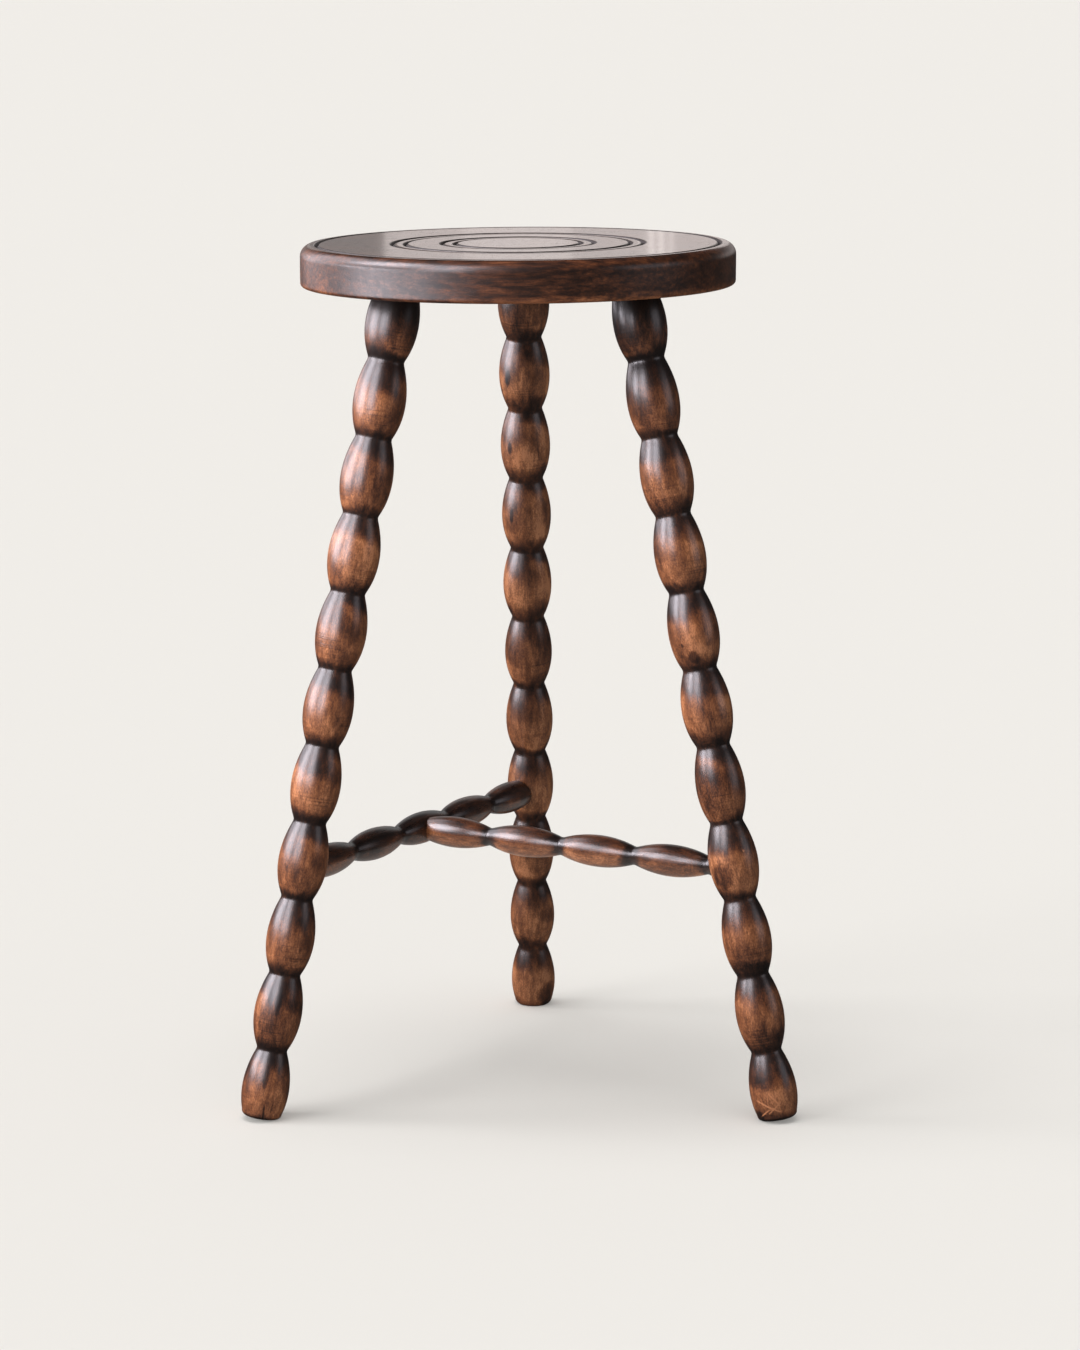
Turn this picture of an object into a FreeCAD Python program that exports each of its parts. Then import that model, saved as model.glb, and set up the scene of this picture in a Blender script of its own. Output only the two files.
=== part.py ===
import FreeCAD, Part
import math
import os

import Sketcher

# A three-legged turned stool. It stands on the floor at height zero with +Z up. The rear leg
# points along +Y, and the origin is under the middle of the whole stool's box, so the axis of
# the seat stands a little in front of it.

# Driving sizes in millimetres
SIZES = {
    # seat
    "seat_diameter": 330.0,
    "seat_thickness": 31.0,
    "seat_top_round": 8.6,
    "seat_bottom_round": 2.5,
    "rim_groove_radius": 152.6,
    "outer_ring_radius": 91.3,
    "inner_ring_radius": 53.8,
    "ring_bead_width": 10.0,
    "ring_bead_drop": 0.4,
    "groove_width": 3.0,
    "groove_depth": 1.8,
    # stance of the legs, measured on their axes
    "underside_height": 622.4,
    "leg_circle_radius": 101.7,
    "foot_circle_radius": 226.7,
    # turned legs
    "first_neck_drop": 52.5,
    "top_bead_diameter": 40.6,
    "foot_bead_diameter": 36.6,
    "top_neck_diameter": 28.1,
    "foot_neck_diameter": 22.6,
    "leg_neck_round": 1.2,
    "foot_bead_cut": 4.7,
    "foot_round": 3.5,
    "sole_rise": 1.0,
    # leg tenon, its socket in the seat and its blind wedge
    "leg_tenon_diameter": 25.0,
    "leg_socket_depth": 22.0,
    "tenon_end_gap": 0.5,
    "wedge_length": 15.0,
    "wedge_width": 24.0,
    "wedge_head": 3.6,
    "saw_cut": 1.2,
    "saw_cut_depth": 18.0,
    # stretchers
    "stretcher_drop": 7.0,
    "stretcher_bead_diameter": 24.8,
    "stretcher_neck_diameter": 13.3,
    "stretcher_neck_round": 0.8,
    "stretcher_tenon_diameter": 12.7,
    "stretcher_tenon_reach": 6.0,
    "tee_tenon_diameter": 10.0,
    "tee_tenon_reach": 5.0,
    # steel pins that lock the stretcher tenons
    "pin_diameter": 1.8,
    "pin_point": 2.5,
    "leg_pin_length": 30.0,
    "tee_pin_length": 18.0,
    "pin_set": 0.8,
    # fits and cutting allowances
    "glue_gap": 0.1,
    "pin_gap": 0.1,
    "overrun": 5.0,
}

LEG_NAMES = ("rear", "left", "right")
LEG_BEAD_COUNT = 11
JOINTED_BEAD_NUMBER = 8
STRETCHER_BEAD_COUNT = 5
REAR_AZIMUTH = 90
FULL_TURN = 360
HALF_TURN = 180
QUARTER_TURN = 90
LEG_STEP = FULL_TURN // len(LEG_NAMES)
PIN_BLUNT_SHARE = 0.25

# Sizes that follow from the driving ones, as formulas
WORKED_OUT = {
    "splay": "atan((sizes.foot_circle_radius - sizes.leg_circle_radius) / sizes.underside_height)",
    "leg_length": "sizes.underside_height / cos(worked.splay)",
    "leg_pitch": "(worked.leg_length + sizes.foot_bead_cut - sizes.first_neck_drop)"
    f" / {LEG_BEAD_COUNT - 1}",
    "top_neck_inset": "worked.leg_pitch - sizes.first_neck_drop",
    "sole_place": "worked.top_neck_inset + worked.leg_length - sizes.sole_rise / cos(worked.splay)",
    "foot_bead_place": f"worked.leg_pitch * ({LEG_BEAD_COUNT} - 1 / 2) - worked.top_neck_inset",
    "foot_bead_swell": "(sizes.foot_bead_diameter - sizes.foot_neck_diameter) / 2",
    "foot_bead_arc": "(worked.leg_pitch ^ 2 / 4 + worked.foot_bead_swell ^ 2)"
    " / (2 * worked.foot_bead_swell)",
    "foot_reach": "sizes.leg_circle_radius + worked.foot_bead_place * sin(worked.splay)"
    " + sizes.foot_bead_diameter / 2 * cos(worked.splay)"
    " + worked.foot_bead_arc * (1 - cos(worked.splay))",
    "seat_axis_y": "(sizes.seat_diameter / 2 - worked.foot_reach) / 2",
    "jointed_bead_place": f"worked.leg_pitch * ({JOINTED_BEAD_NUMBER} - 1 / 2) - worked.top_neck_inset",
    "stretcher_fall": "worked.jointed_bead_place * cos(worked.splay) + sizes.stretcher_drop",
    "stretcher_radius": "sizes.leg_circle_radius + worked.stretcher_fall * tan(worked.splay)",
    "long_span": f"2 * worked.stretcher_radius * sin({LEG_STEP / 2}deg)",
    "short_span": f"worked.stretcher_radius * (1 + cos({LEG_STEP / 2}deg))",
    "stretcher_pitch": f"worked.long_span / {STRETCHER_BEAD_COUNT}",
    "jointed_bead_diameter": "sizes.top_bead_diameter"
    " + (sizes.foot_bead_diameter - sizes.top_bead_diameter)"
    f" * {JOINTED_BEAD_NUMBER - 1} / {LEG_BEAD_COUNT - 1}",
    "leg_pin_reach": "worked.jointed_bead_diameter / 2 - sizes.pin_set",
    "tee_pin_reach": "sizes.stretcher_bead_diameter / 2 - sizes.pin_set",
}

doc = FreeCAD.newDocument("Stool")


def fill_sheet(name, cells, as_formula=False):
    """Make a sheet with one named cell for each entry, the name beside it."""
    sheet = doc.addObject("Spreadsheet::Sheet", name)
    for row, (alias, content) in enumerate(cells.items(), start=1):
        sheet.set(f"A{row}", alias)
        sheet.setAlias(f"B{row}", alias)
        sheet.set(f"B{row}", f"={content}" if as_formula else str(content))
    return sheet


fill_sheet("sizes", SIZES)
worked = fill_sheet("worked", WORKED_OUT, as_formula=True)
doc.recompute()


def number(expression):
    """Value of an expression on the sheets, to start a sketch close to its solution."""
    result = worked.evalExpression(expression)
    return float(getattr(result, "Value", result))


def between(first, last, step, steps):
    """Expression for a size that changes evenly from one named size to another."""
    return f"(sizes.{first} + (sizes.{last} - sizes.{first}) * {step} / {steps})"


def place(x="0", y="0", z="0", yaw="0", pitch="0", roll="0"):
    """Expression for a move followed by a turn."""
    return f"placement(vector({x}; {y}; {z}); rotation({yaw}; {pitch}; {roll}))"


def make(kind, name, links=None, **settings):
    """Add an object, set its properties and bind others to the sheets."""
    thing = doc.addObject(kind, name)
    for key, value in settings.items():
        setattr(thing, key, value)
    for key, expression in (links or {}).items():
        thing.setExpression(key, expression)
    return thing


def cylinder(name, radius, height, frame):
    """Round bar or drill whose axis is the Z axis of its frame."""
    return make(
        "Part::Cylinder",
        name,
        {"Radius": radius, "Height": height, "Placement": frame},
    )


def origin_plane(body, role):
    """One of the three base planes of a body."""
    return next(plane for plane in body.Origin.OriginFeatures if plane.Role == role)


def side_sketch(body, name):
    """Sketch in the body's XZ plane, with X as the radius and Z as the place along the axis."""
    sketch = body.newObject("Sketcher::SketchObject", name)
    sketch.AttachmentSupport = (origin_plane(body, "XZ_Plane"), [""])
    sketch.MapMode = "FlatFace"
    return sketch


def fix_point(sketch, geometry, end, x=None, z=None):
    """Tie the end of a sketch element to expressions for its X and Z."""
    for kind, expression in (("DistanceX", x), ("DistanceY", z)):
        if expression is None:
            continue
        constraint = Sketcher.Constraint(kind, -1, 1, geometry, end, number(expression))
        index = sketch.addConstraint(constraint)
        sketch.setExpression(f"Constraints[{index}]", expression)


def fix_radius(sketch, geometry, expression):
    """Tie the radius of an arc to an expression."""
    index = sketch.addConstraint(Sketcher.Constraint("Radius", geometry, number(expression)))
    sketch.setExpression(f"Constraints[{index}]", expression)


def join_ends(sketch, count):
    """Close a run of sketch elements, each starting where the one before it ends."""
    for index in range(count):
        following = (index + 1) % count
        sketch.addConstraint(Sketcher.Constraint("Coincident", index, 2, following, 1))


def closed_outline(sketch, corners):
    """Closed run of straight lines through corners given as pairs of expressions."""
    points = [FreeCAD.Vector(number(x), number(z), 0) for x, z in corners]
    for index, point in enumerate(points):
        following = points[(index + 1) % len(points)]
        sketch.addGeometry(Part.LineSegment(point, following), False)
    join_ends(sketch, len(points))
    for index, (x, z) in enumerate(corners):
        fix_point(sketch, index, 1, x, z)


def turned(body, sketch, kind, name):
    """Full turn of a sketch about the body's axis, as a solid or as a cut."""
    feature = body.newObject(kind, name)
    feature.Profile = sketch
    feature.ReferenceAxis = (sketch, ["V_Axis"])
    feature.Angle = FULL_TURN
    sketch.Visibility = False
    doc.recompute()
    return feature


def round_edges(shape, low, high):
    """Names of the full circles whose centres lie between two places along the axis."""
    return [
        f"Edge{index}"
        for index, edge in enumerate(shape.Edges, start=1)
        if edge.isClosed()
        and isinstance(edge.Curve, Part.Circle)
        and low < edge.Curve.Center.z < high
    ]


def fillet(body, base, name, edges, radius):
    """Round the named edges of the last feature of a body."""
    feature = body.newObject("PartDesign::Fillet", name)
    feature.Base = (base, edges)
    feature.setExpression("Radius", radius)
    doc.recompute()
    return feature


def arc_radius(chord, rise):
    """Expression for the radius of an arc from its chord and its rise."""
    return f"(({chord}) ^ 2 / 4 + ({rise}) ^ 2) / (2 * ({rise}))"


def bead_turning(name, frame, necks, crowns, pitch, end, neck_round):
    """Turned bar of beads, each an arc from one neck to the next along its axis.

    The necks and crowns are expressions for diameters. There is one more neck than there are
    crowns, because the last bead is cut short at the place called end. The outline is drawn on
    the outer side of a leg and on top of a stretcher, away from what meets them.
    """
    outline_side = place(yaw=HALF_TURN)
    body = make("PartDesign::Body", name, {"Placement": f"{frame} * {outline_side}"})
    sketch = side_sketch(body, f"{name}_outline")
    count = len(crowns)
    tops = [number(f"{neck} / 2") for neck in necks]
    step = number(pitch)
    last = number(end)
    arc_sizes = []
    top = FreeCAD.Vector(tops[0], 0, 0)
    sketch.addGeometry(Part.LineSegment(FreeCAD.Vector(0, 0, 0), top), False)
    for bead, crown in enumerate(crowns):
        mean_neck = f"({necks[bead]} + {necks[bead + 1]}) / 4"
        arc_sizes.append(arc_radius(pitch, f"{crown} / 2 - {mean_neck}"))
        centre_x = number(f"{crown} / 2") - number(arc_sizes[bead])
        ends = [(tops[bead], step * bead), (tops[bead + 1], step * (bead + 1))]
        if bead == count - 1:
            away = last - step * (bead + 0.5)
            reach = math.sqrt(number(arc_sizes[bead]) ** 2 - away**2)
            ends[1] = (centre_x + reach, last)
        middle = (number(f"{crown} / 2"), step * (bead + 0.5))
        start, finish = (FreeCAD.Vector(x, z, 0) for x, z in ends)
        arc = Part.Arc(start, FreeCAD.Vector(*middle, 0), finish)
        sketch.addGeometry(arc, False)
    sole = FreeCAD.Vector(0, last, 0)
    sketch.addGeometry(Part.LineSegment(finish, sole), False)
    sketch.addGeometry(Part.LineSegment(sole, FreeCAD.Vector(0, 0, 0)), False)
    join_ends(sketch, count + 3)
    sketch.addConstraint(Sketcher.Constraint("Coincident", 0, 1, -1, 1))
    sketch.addConstraint(Sketcher.Constraint("Horizontal", 0))
    sketch.addConstraint(Sketcher.Constraint("Horizontal", count + 1))
    sketch.addConstraint(Sketcher.Constraint("Vertical", count + 2))
    for bead in range(count):
        along = f"{pitch} * {bead}" if bead else None
        fix_point(sketch, bead + 1, 1, f"{necks[bead]} / 2", along)
        fix_radius(sketch, bead + 1, arc_sizes[bead])
    centre = f"{arc_sizes[-1]} - {crowns[-1]} / 2"
    index = sketch.addConstraint(
        Sketcher.Constraint("DistanceX", count, 3, -1, 1, number(centre))
    )
    sketch.setExpression(f"Constraints[{index}]", centre)
    fix_point(sketch, count, 2, None, end)
    bar = turned(body, sketch, "PartDesign::Revolution", f"{name}_bar")
    inside = round_edges(bar.Shape, step / 2, step * (count - 0.5))
    fillet(body, bar, f"{name}_necks", inside, neck_round)
    return body


def leg_frame(azimuth):
    """Frame at the leg's upper neck, which lies inside the seat, with Z down the leg."""
    at_axis = place(y="worked.seat_axis_y", yaw=azimuth)
    at_seat = place(
        x="sizes.leg_circle_radius",
        z="sizes.underside_height",
        pitch=f"{HALF_TURN}deg - worked.splay",
    )
    return f"{at_axis} * {at_seat} * {place(z='-worked.top_neck_inset')}"


def tenon_frame(azimuth):
    """Frame at the bottom of a leg's socket, turned so that X runs with the seat's grain."""
    depth = "worked.top_neck_inset - sizes.leg_socket_depth"
    return f"{leg_frame(azimuth)} * {place(z=depth, yaw=azimuth)}"


def wedge_outline(sketch, length, tail):
    """Long taper of the wedge, with a straight tail below its tip for the saw cut."""
    head, tip = "sizes.wedge_head / 2", "sizes.saw_cut / 2"
    right = [(head, "0"), (tip, length)]
    if tail:
        right.append((tip, tail))
    left = [(f"-{x}", z) for x, z in reversed(right)]
    closed_outline(sketch, right + left)


def wedge_body(name, frame, width, tail=None):
    """Wedge, or with a tail the slot that it spreads, with its head at the frame."""
    body = make("PartDesign::Body", name, {"Placement": frame})
    sketch = side_sketch(body, f"{name}_taper")
    wedge_outline(sketch, "sizes.wedge_length", tail)
    pad = body.newObject("PartDesign::Pad", f"{name}_pad")
    pad.Profile = sketch
    pad.SideType = "Symmetric"
    pad.setExpression("Length", width)
    sketch.Visibility = False
    return body


# Frames of the legs and the stretchers. A stretcher's frame has Z along it and X downwards.
AZIMUTHS = {name: REAR_AZIMUTH + turn * LEG_STEP for turn, name in enumerate(LEG_NAMES)}
LEG_FRAMES = {name: leg_frame(azimuth) for name, azimuth in AZIMUTHS.items()}
TENON_FRAMES = {name: tenon_frame(azimuth) for name, azimuth in AZIMUTHS.items()}
LONG_FRAME = " * ".join(
    [
        place(y="worked.seat_axis_y", yaw=AZIMUTHS["left"]),
        place(
            x="worked.stretcher_radius",
            z="sizes.underside_height - worked.stretcher_fall",
            yaw=-(QUARTER_TURN + LEG_STEP / 2),
            pitch=QUARTER_TURN,
        ),
    ]
)
SHORT_FRAME = f"{LONG_FRAME} * {place(z='worked.long_span / 2', roll=QUARTER_TURN)}"

# Pin frames have Z from the head inwards. The leg pins go in from behind, square to the
# stretcher, and the pin of the tee joint goes in from below.
FROM_BEHIND = {"y": "worked.leg_pin_reach", "roll": QUARTER_TURN}
PINS = {
    "left": (f"{LONG_FRAME} * {place(**FROM_BEHIND)}", "sizes.leg_pin_length"),
    "rear": (
        f"{LONG_FRAME} * {place(z='worked.long_span', **FROM_BEHIND)}",
        "sizes.leg_pin_length",
    ),
    "right": (
        f"{SHORT_FRAME} * {place(z='worked.short_span', **FROM_BEHIND)}",
        "sizes.leg_pin_length",
    ),
    "tee": (
        f"{SHORT_FRAME} * {place(x='worked.tee_pin_reach', pitch=-QUARTER_TURN)}",
        "sizes.tee_pin_length",
    ),
}


def pin(name):
    """Round steel pin with a turned point."""
    frame, length = PINS[name]
    body = make("PartDesign::Body", f"{name}_joint_pin", {"Placement": frame})
    sketch = side_sketch(body, f"{name}_joint_pin_outline")
    radius = "sizes.pin_diameter / 2"
    shoulder = f"{length} - sizes.pin_point"
    blunt = f"{radius} * {PIN_BLUNT_SHARE}"
    corners = [("0", "0"), (radius, "0"), (radius, shoulder), (blunt, length), ("0", length)]
    closed_outline(sketch, corners)
    turned(body, sketch, "PartDesign::Revolution", f"{name}_joint_pin_bar")
    return body


def pin_drill(name, joint):
    """Drill for a pin, from the point of the pin out through the wood behind its head."""
    frame, length = PINS[joint]
    outside = f"{frame} * {place(z='-sizes.overrun')}"
    radius = "sizes.pin_diameter / 2 + sizes.pin_gap"
    return cylinder(name, radius, f"{length} + sizes.overrun", outside)


def room_under_seat():
    """Block of space from the floor to the underside of the seat, wider than the stance."""
    reach = "worked.foot_reach + sizes.overrun"
    side = f"2 * ({reach})"
    corner = place(x=f"-({reach})", y=f"worked.seat_axis_y - ({reach})")
    links = {
        "Length": side,
        "Width": side,
        "Height": "sizes.underside_height",
        "Placement": corner,
    }
    return make("Part::Box", "room_under_seat", links)


def leg_turning(name):
    """The leg as it comes off the lathe, before it is cut to the seat and the floor."""
    steps = LEG_BEAD_COUNT - 1
    necks = [
        between("top_neck_diameter", "foot_neck_diameter", neck, LEG_BEAD_COUNT)
        for neck in range(LEG_BEAD_COUNT + 1)
    ]
    crowns = [
        between("top_bead_diameter", "foot_bead_diameter", bead, steps)
        for bead in range(LEG_BEAD_COUNT)
    ]
    body = bead_turning(
        f"leg_{name}_turning",
        LEG_FRAMES[name],
        necks,
        crowns,
        "worked.leg_pitch",
        "worked.sole_place",
        "sizes.leg_neck_round",
    )
    sole = number("worked.sole_place")
    near = number("sizes.foot_round")
    edges = round_edges(body.Tip.Shape, sole - near, sole + near)
    fillet(body, body.Tip, f"leg_{name}_foot", edges, "sizes.foot_round")
    return body


def leg(name, turning, room, drills):
    """Leg cut off level at the floor and the seat, with its tenon, slot and holes."""
    trimmed = make("Part::Common", f"leg_{name}_trimmed", Base=turning, Tool=room)
    frame = f"{TENON_FRAMES[name]} * {place(z='sizes.tenon_end_gap')}"
    length = "sizes.leg_socket_depth - sizes.tenon_end_gap + sizes.first_neck_drop / 2"
    tenon = cylinder(f"leg_{name}_tenon", "sizes.leg_tenon_diameter / 2", length, frame)
    blank = make("Part::Fuse", f"leg_{name}_blank", Base=trimmed, Tool=tenon)
    slot_width = "sizes.leg_tenon_diameter + sizes.overrun"
    slot = wedge_body(
        f"leg_{name}_slot", TENON_FRAMES[name], slot_width, tail="sizes.saw_cut_depth"
    )
    cuts = make("Part::MultiFuse", f"leg_{name}_cuts", Shapes=[slot, *drills])
    return make("Part::Cut", f"leg_{name}", Base=blank, Tool=cuts)


def seat():
    """Round seat with eased edges, turned rings in its top and a blind socket for each leg."""
    frame = place(y="worked.seat_axis_y", z="sizes.underside_height")
    body = make("PartDesign::Body", "seat_turning", {"Placement": frame})
    disc = side_sketch(body, "seat_disc")
    radius, top = "sizes.seat_diameter / 2", "sizes.seat_thickness"
    closed_outline(disc, [("0", "0"), (radius, "0"), (radius, top), ("0", top)])
    blank = turned(body, disc, "PartDesign::Revolution", "seat_blank")
    middle = number(top) / 2
    upper = round_edges(blank.Shape, middle, number(top) + middle)
    eased = fillet(body, blank, "seat_top_edge", upper, "sizes.seat_top_round")
    lower = round_edges(eased.Shape, -middle, middle)
    fillet(body, eased, "seat_lower_edge", lower, "sizes.seat_bottom_round")
    half = "sizes.groove_width / 2"
    floor = f"{top} - sizes.groove_depth"
    rim = side_sketch(body, "rim_groove_outline")
    mid = "sizes.rim_groove_radius"
    closed_outline(rim, [(f"{mid} - {half}", top), (mid, floor), (f"{mid} + {half}", top)])
    turned(body, rim, "PartDesign::Groove", "rim_groove")
    for name in ("outer_ring", "inner_ring"):
        ring_groove(body, name, f"sizes.{name}_radius", top, floor)
    drills = []
    for leg_name in LEG_NAMES:
        length = "sizes.leg_socket_depth + sizes.overrun"
        reach = "sizes.leg_tenon_diameter / 2 + sizes.glue_gap"
        drills.append(cylinder(f"seat_{leg_name}_drill", reach, length, TENON_FRAMES[leg_name]))
    sockets = make("Part::MultiFuse", "seat_sockets", Shapes=drills)
    return make("Part::Cut", "seat", Base=body, Tool=sockets)


def ring_groove(body, name, radius, top, floor):
    """Two sharp grooves with a low round bead left standing between them."""
    sketch = side_sketch(body, f"{name}_outline")
    inner = f"{radius} - sizes.ring_bead_width / 2"
    outer = f"{radius} + sizes.ring_bead_width / 2"
    half = "sizes.groove_width / 2"
    corners = [(inner, floor), (f"{inner} - {half}", top), (f"{outer} + {half}", top), (outer, floor)]
    points = [FreeCAD.Vector(number(x), number(z), 0) for x, z in corners]
    for start, finish in zip(points, points[1:]):
        sketch.addGeometry(Part.LineSegment(start, finish), False)
    crest = FreeCAD.Vector(number(radius), number(f"{top} - sizes.ring_bead_drop"), 0)
    sketch.addGeometry(Part.Arc(points[-1], crest, points[0]), False)
    join_ends(sketch, len(points))
    for index, (x, z) in enumerate(corners):
        fix_point(sketch, index, 1, x, z)
    rise = "sizes.groove_depth - sizes.ring_bead_drop"
    fix_radius(sketch, len(points) - 1, arc_radius("sizes.ring_bead_width", rise))
    return turned(body, sketch, "PartDesign::Groove", name)


def stretcher_turning(name, frame, beads, end):
    """Stretcher as it comes off the lathe, from one leg's axis or the tee to the other's."""
    return bead_turning(
        name,
        frame,
        ["sizes.stretcher_neck_diameter"] * (beads + 1),
        ["sizes.stretcher_bead_diameter"] * beads,
        "worked.stretcher_pitch",
        end,
        "sizes.stretcher_neck_round",
    )


def stretcher_tenon(name, frame, diameter, reach):
    """Tenon that runs from inside the first bead to its reach past the joint's centre."""
    start = f"{frame} * {place(z=f'-{reach}')}"
    return cylinder(name, f"{diameter} / 2", f"{reach} + worked.stretcher_pitch / 2", start)


def stretcher_drill(name, frame, diameter, reach):
    """Drill for the socket of a stretcher's tenon, out through the side it enters from."""
    start = f"{frame} * {place(z=f'-{reach} - sizes.glue_gap')}"
    length = f"{reach} + sizes.glue_gap + worked.stretcher_pitch / 2"
    return cylinder(name, f"{diameter} / 2 + sizes.glue_gap", length, start)


def stretcher(name, turning, neighbours, tenons, drills):
    """Stretcher scribed to the round pieces it meets, with its tenons and holes."""
    around = make("Part::MultiFuse", f"{name}_neighbours", Shapes=neighbours)
    scribed = make("Part::Cut", f"{name}_scribed", Base=turning, Tool=around)
    blank = make("Part::MultiFuse", f"{name}_blank", Shapes=[scribed, *tenons])
    cuts = make("Part::MultiFuse", f"{name}_cuts", Shapes=drills)
    return make("Part::Cut", name, Base=blank, Tool=cuts)


# Each tenon's frame has Z from the joint's centre along the stretcher.
BACKWARDS = place(pitch=HALF_TURN)
JOINTS = {
    "left": (LONG_FRAME, "sizes.stretcher_tenon"),
    "rear": (
        f"{LONG_FRAME} * {place(z='worked.long_span')} * {BACKWARDS}",
        "sizes.stretcher_tenon",
    ),
    "right": (
        f"{SHORT_FRAME} * {place(z='worked.short_span')} * {BACKWARDS}",
        "sizes.stretcher_tenon",
    ),
    "tee": (SHORT_FRAME, "sizes.tee_tenon"),
}


def joint_pieces(joint, maker, name):
    """Tenon or socket drill of a joint, made by the given function."""
    frame, size = JOINTS[joint]
    return maker(name, frame, f"{size}_diameter", f"{size}_reach")


room = room_under_seat()
turnings = {name: leg_turning(name) for name in LEG_NAMES}
sockets = {
    joint: joint_pieces(joint, stretcher_drill, f"{joint}_socket_drill") for joint in JOINTS
}
tenons = {joint: joint_pieces(joint, stretcher_tenon, f"{joint}_tenon") for joint in JOINTS}
pin_drills = {joint: pin_drill(f"{joint}_pin_drill", joint) for joint in JOINTS}
long_turning = stretcher_turning(
    "long_stretcher_turning", LONG_FRAME, STRETCHER_BEAD_COUNT, "worked.long_span"
)
short_turning = stretcher_turning(
    "short_stretcher_turning", SHORT_FRAME, STRETCHER_BEAD_COUNT, "worked.short_span"
)
doc.recompute()

nodes = [seat()]
for name in LEG_NAMES:
    nodes.append(leg(name, turnings[name], room, [sockets[name], pin_drills[name]]))
nodes.append(
    stretcher(
        "long_stretcher",
        long_turning,
        [turnings["left"], turnings["rear"]],
        [tenons["left"], tenons["rear"]],
        [sockets["tee"], pin_drills["left"], pin_drills["rear"], pin_drills["tee"]],
    )
)
nodes.append(
    stretcher(
        "short_stretcher",
        short_turning,
        [turnings["right"], long_turning],
        [tenons["right"], tenons["tee"]],
        [pin_drills["right"], pin_drills["tee"]],
    )
)
for name in LEG_NAMES:
    wedge = wedge_body(f"{name}_leg_wedge", TENON_FRAMES[name], "sizes.wedge_width")
    nodes.append(wedge)
for name in PINS:
    nodes.append(pin(name))
doc.recompute()

for thing in doc.Objects:
    if {"Invalid", "Error"} & set(thing.State):
        raise RuntimeError(f"{thing.Label} did not build: {thing.State}")
for node in nodes:
    shape = node.Shape
    if shape.isNull() or not shape.isValid() or len(shape.Solids) != 1:
        raise RuntimeError(f"{node.Label} is not one sound solid")

os.makedirs("parts", exist_ok=True)
for node in nodes:
    node.Shape.exportStep(f"parts/{node.Label}.step")
    box = node.Shape.optimalBoundingBox()
    print(
        f"{node.Label}: {node.Shape.Volume:.0f} mm3,"
        f" x {box.XMin:.1f} to {box.XMax:.1f}, y {box.YMin:.1f} to {box.YMax:.1f},"
        f" z {box.ZMin:.1f} to {box.ZMax:.1f}"
    )
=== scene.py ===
"""Looks of a three-legged turned stool, dressed around its packed construction model.

Lengths are in metres. The stool stands on the floor at height zero with +Z up and its rear leg
points along +Y. Each turned piece is a surface of revolution, worked out as whole arrays on a
grid of places along its axis and turns around it, and laid on its own axis in the stool.
"""

import logging
import math
from dataclasses import dataclass, field
from enum import Enum, IntEnum

import bpy
import numpy as np
from mathutils import Matrix, Vector


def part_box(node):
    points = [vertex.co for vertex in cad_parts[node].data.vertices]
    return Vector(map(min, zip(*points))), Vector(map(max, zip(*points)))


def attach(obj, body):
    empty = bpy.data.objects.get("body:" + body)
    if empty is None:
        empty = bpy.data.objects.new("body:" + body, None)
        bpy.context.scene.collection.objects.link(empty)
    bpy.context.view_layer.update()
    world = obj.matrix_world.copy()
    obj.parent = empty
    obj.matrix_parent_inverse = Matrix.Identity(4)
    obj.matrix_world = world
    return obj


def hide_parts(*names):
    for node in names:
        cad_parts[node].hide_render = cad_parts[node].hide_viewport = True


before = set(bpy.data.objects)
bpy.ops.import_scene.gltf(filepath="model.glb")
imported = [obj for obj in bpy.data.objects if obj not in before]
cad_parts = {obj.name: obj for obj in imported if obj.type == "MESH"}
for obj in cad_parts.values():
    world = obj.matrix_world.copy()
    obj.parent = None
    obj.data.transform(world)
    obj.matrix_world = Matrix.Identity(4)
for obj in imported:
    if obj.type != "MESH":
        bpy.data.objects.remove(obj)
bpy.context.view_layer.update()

Array = np.ndarray
Piece = bpy.types.Object
Socket = bpy.types.NodeSocket
Pair = tuple[float, float]
Band = Pair
Triple = tuple[float, float, float]
Tone = Triple
Ramp = tuple[tuple[float, Tone], ...]

logger = logging.getLogger("stool")
FULL_TURN = 2.0 * math.pi
QUARTER_TURN = math.pi / 2.0
UP = np.array([0.0, 0.0, 1.0])
WHOLE = (0.0, 1.0)
DRIFT_WAVES = 6
DRIFT_ROUNDS = 4
DRIFT_LENGTHS = (0.6, 1.6)


class LitPart(Enum):
    """What a light falls on."""

    SEAT = "seat"
    LEFT_LEG = "left leg"
    RIGHT_LEG = "right leg"
    REAR_LEG = "rear leg"
    STRETCHERS = "stretchers"
    FLOOR = "floor"


class LegName(Enum):
    """The three legs, each with its direction from the seat's axis in degrees."""

    REAR = 90.0
    LEFT = 210.0
    RIGHT = 330.0

    @property
    def node(self) -> str:
        """Name of the leg's construction node."""
        return f"leg_{self.name.lower()}"

    @property
    def lit_part(self) -> LitPart:
        """The leg as a part that lights fall on."""
        return LitPart[f"{self.name}_LEG"]


class SeedStep(IntEnum):
    """What is added to a piece's seed, so that each of its drifts differs from the others."""

    FADES = 1
    BODY = 2
    TOOLED = 3
    SHAPE = 9


def ease(band: Band, value: Array) -> Array:
    """Ease from 0 to 1 over a band of values, as 3 s^2 - 2 s^3 of the clipped share s.

    Args:
        band: Value where the result is 0, and value where it is 1.
        value: Values to ease.

    Returns:
        Array of the same shape, from 0 to 1.
    """
    low, high = band
    share = np.clip((value - low) / (high - low), 0.0, 1.0)
    return share * share * (3.0 - 2.0 * share)


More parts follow.
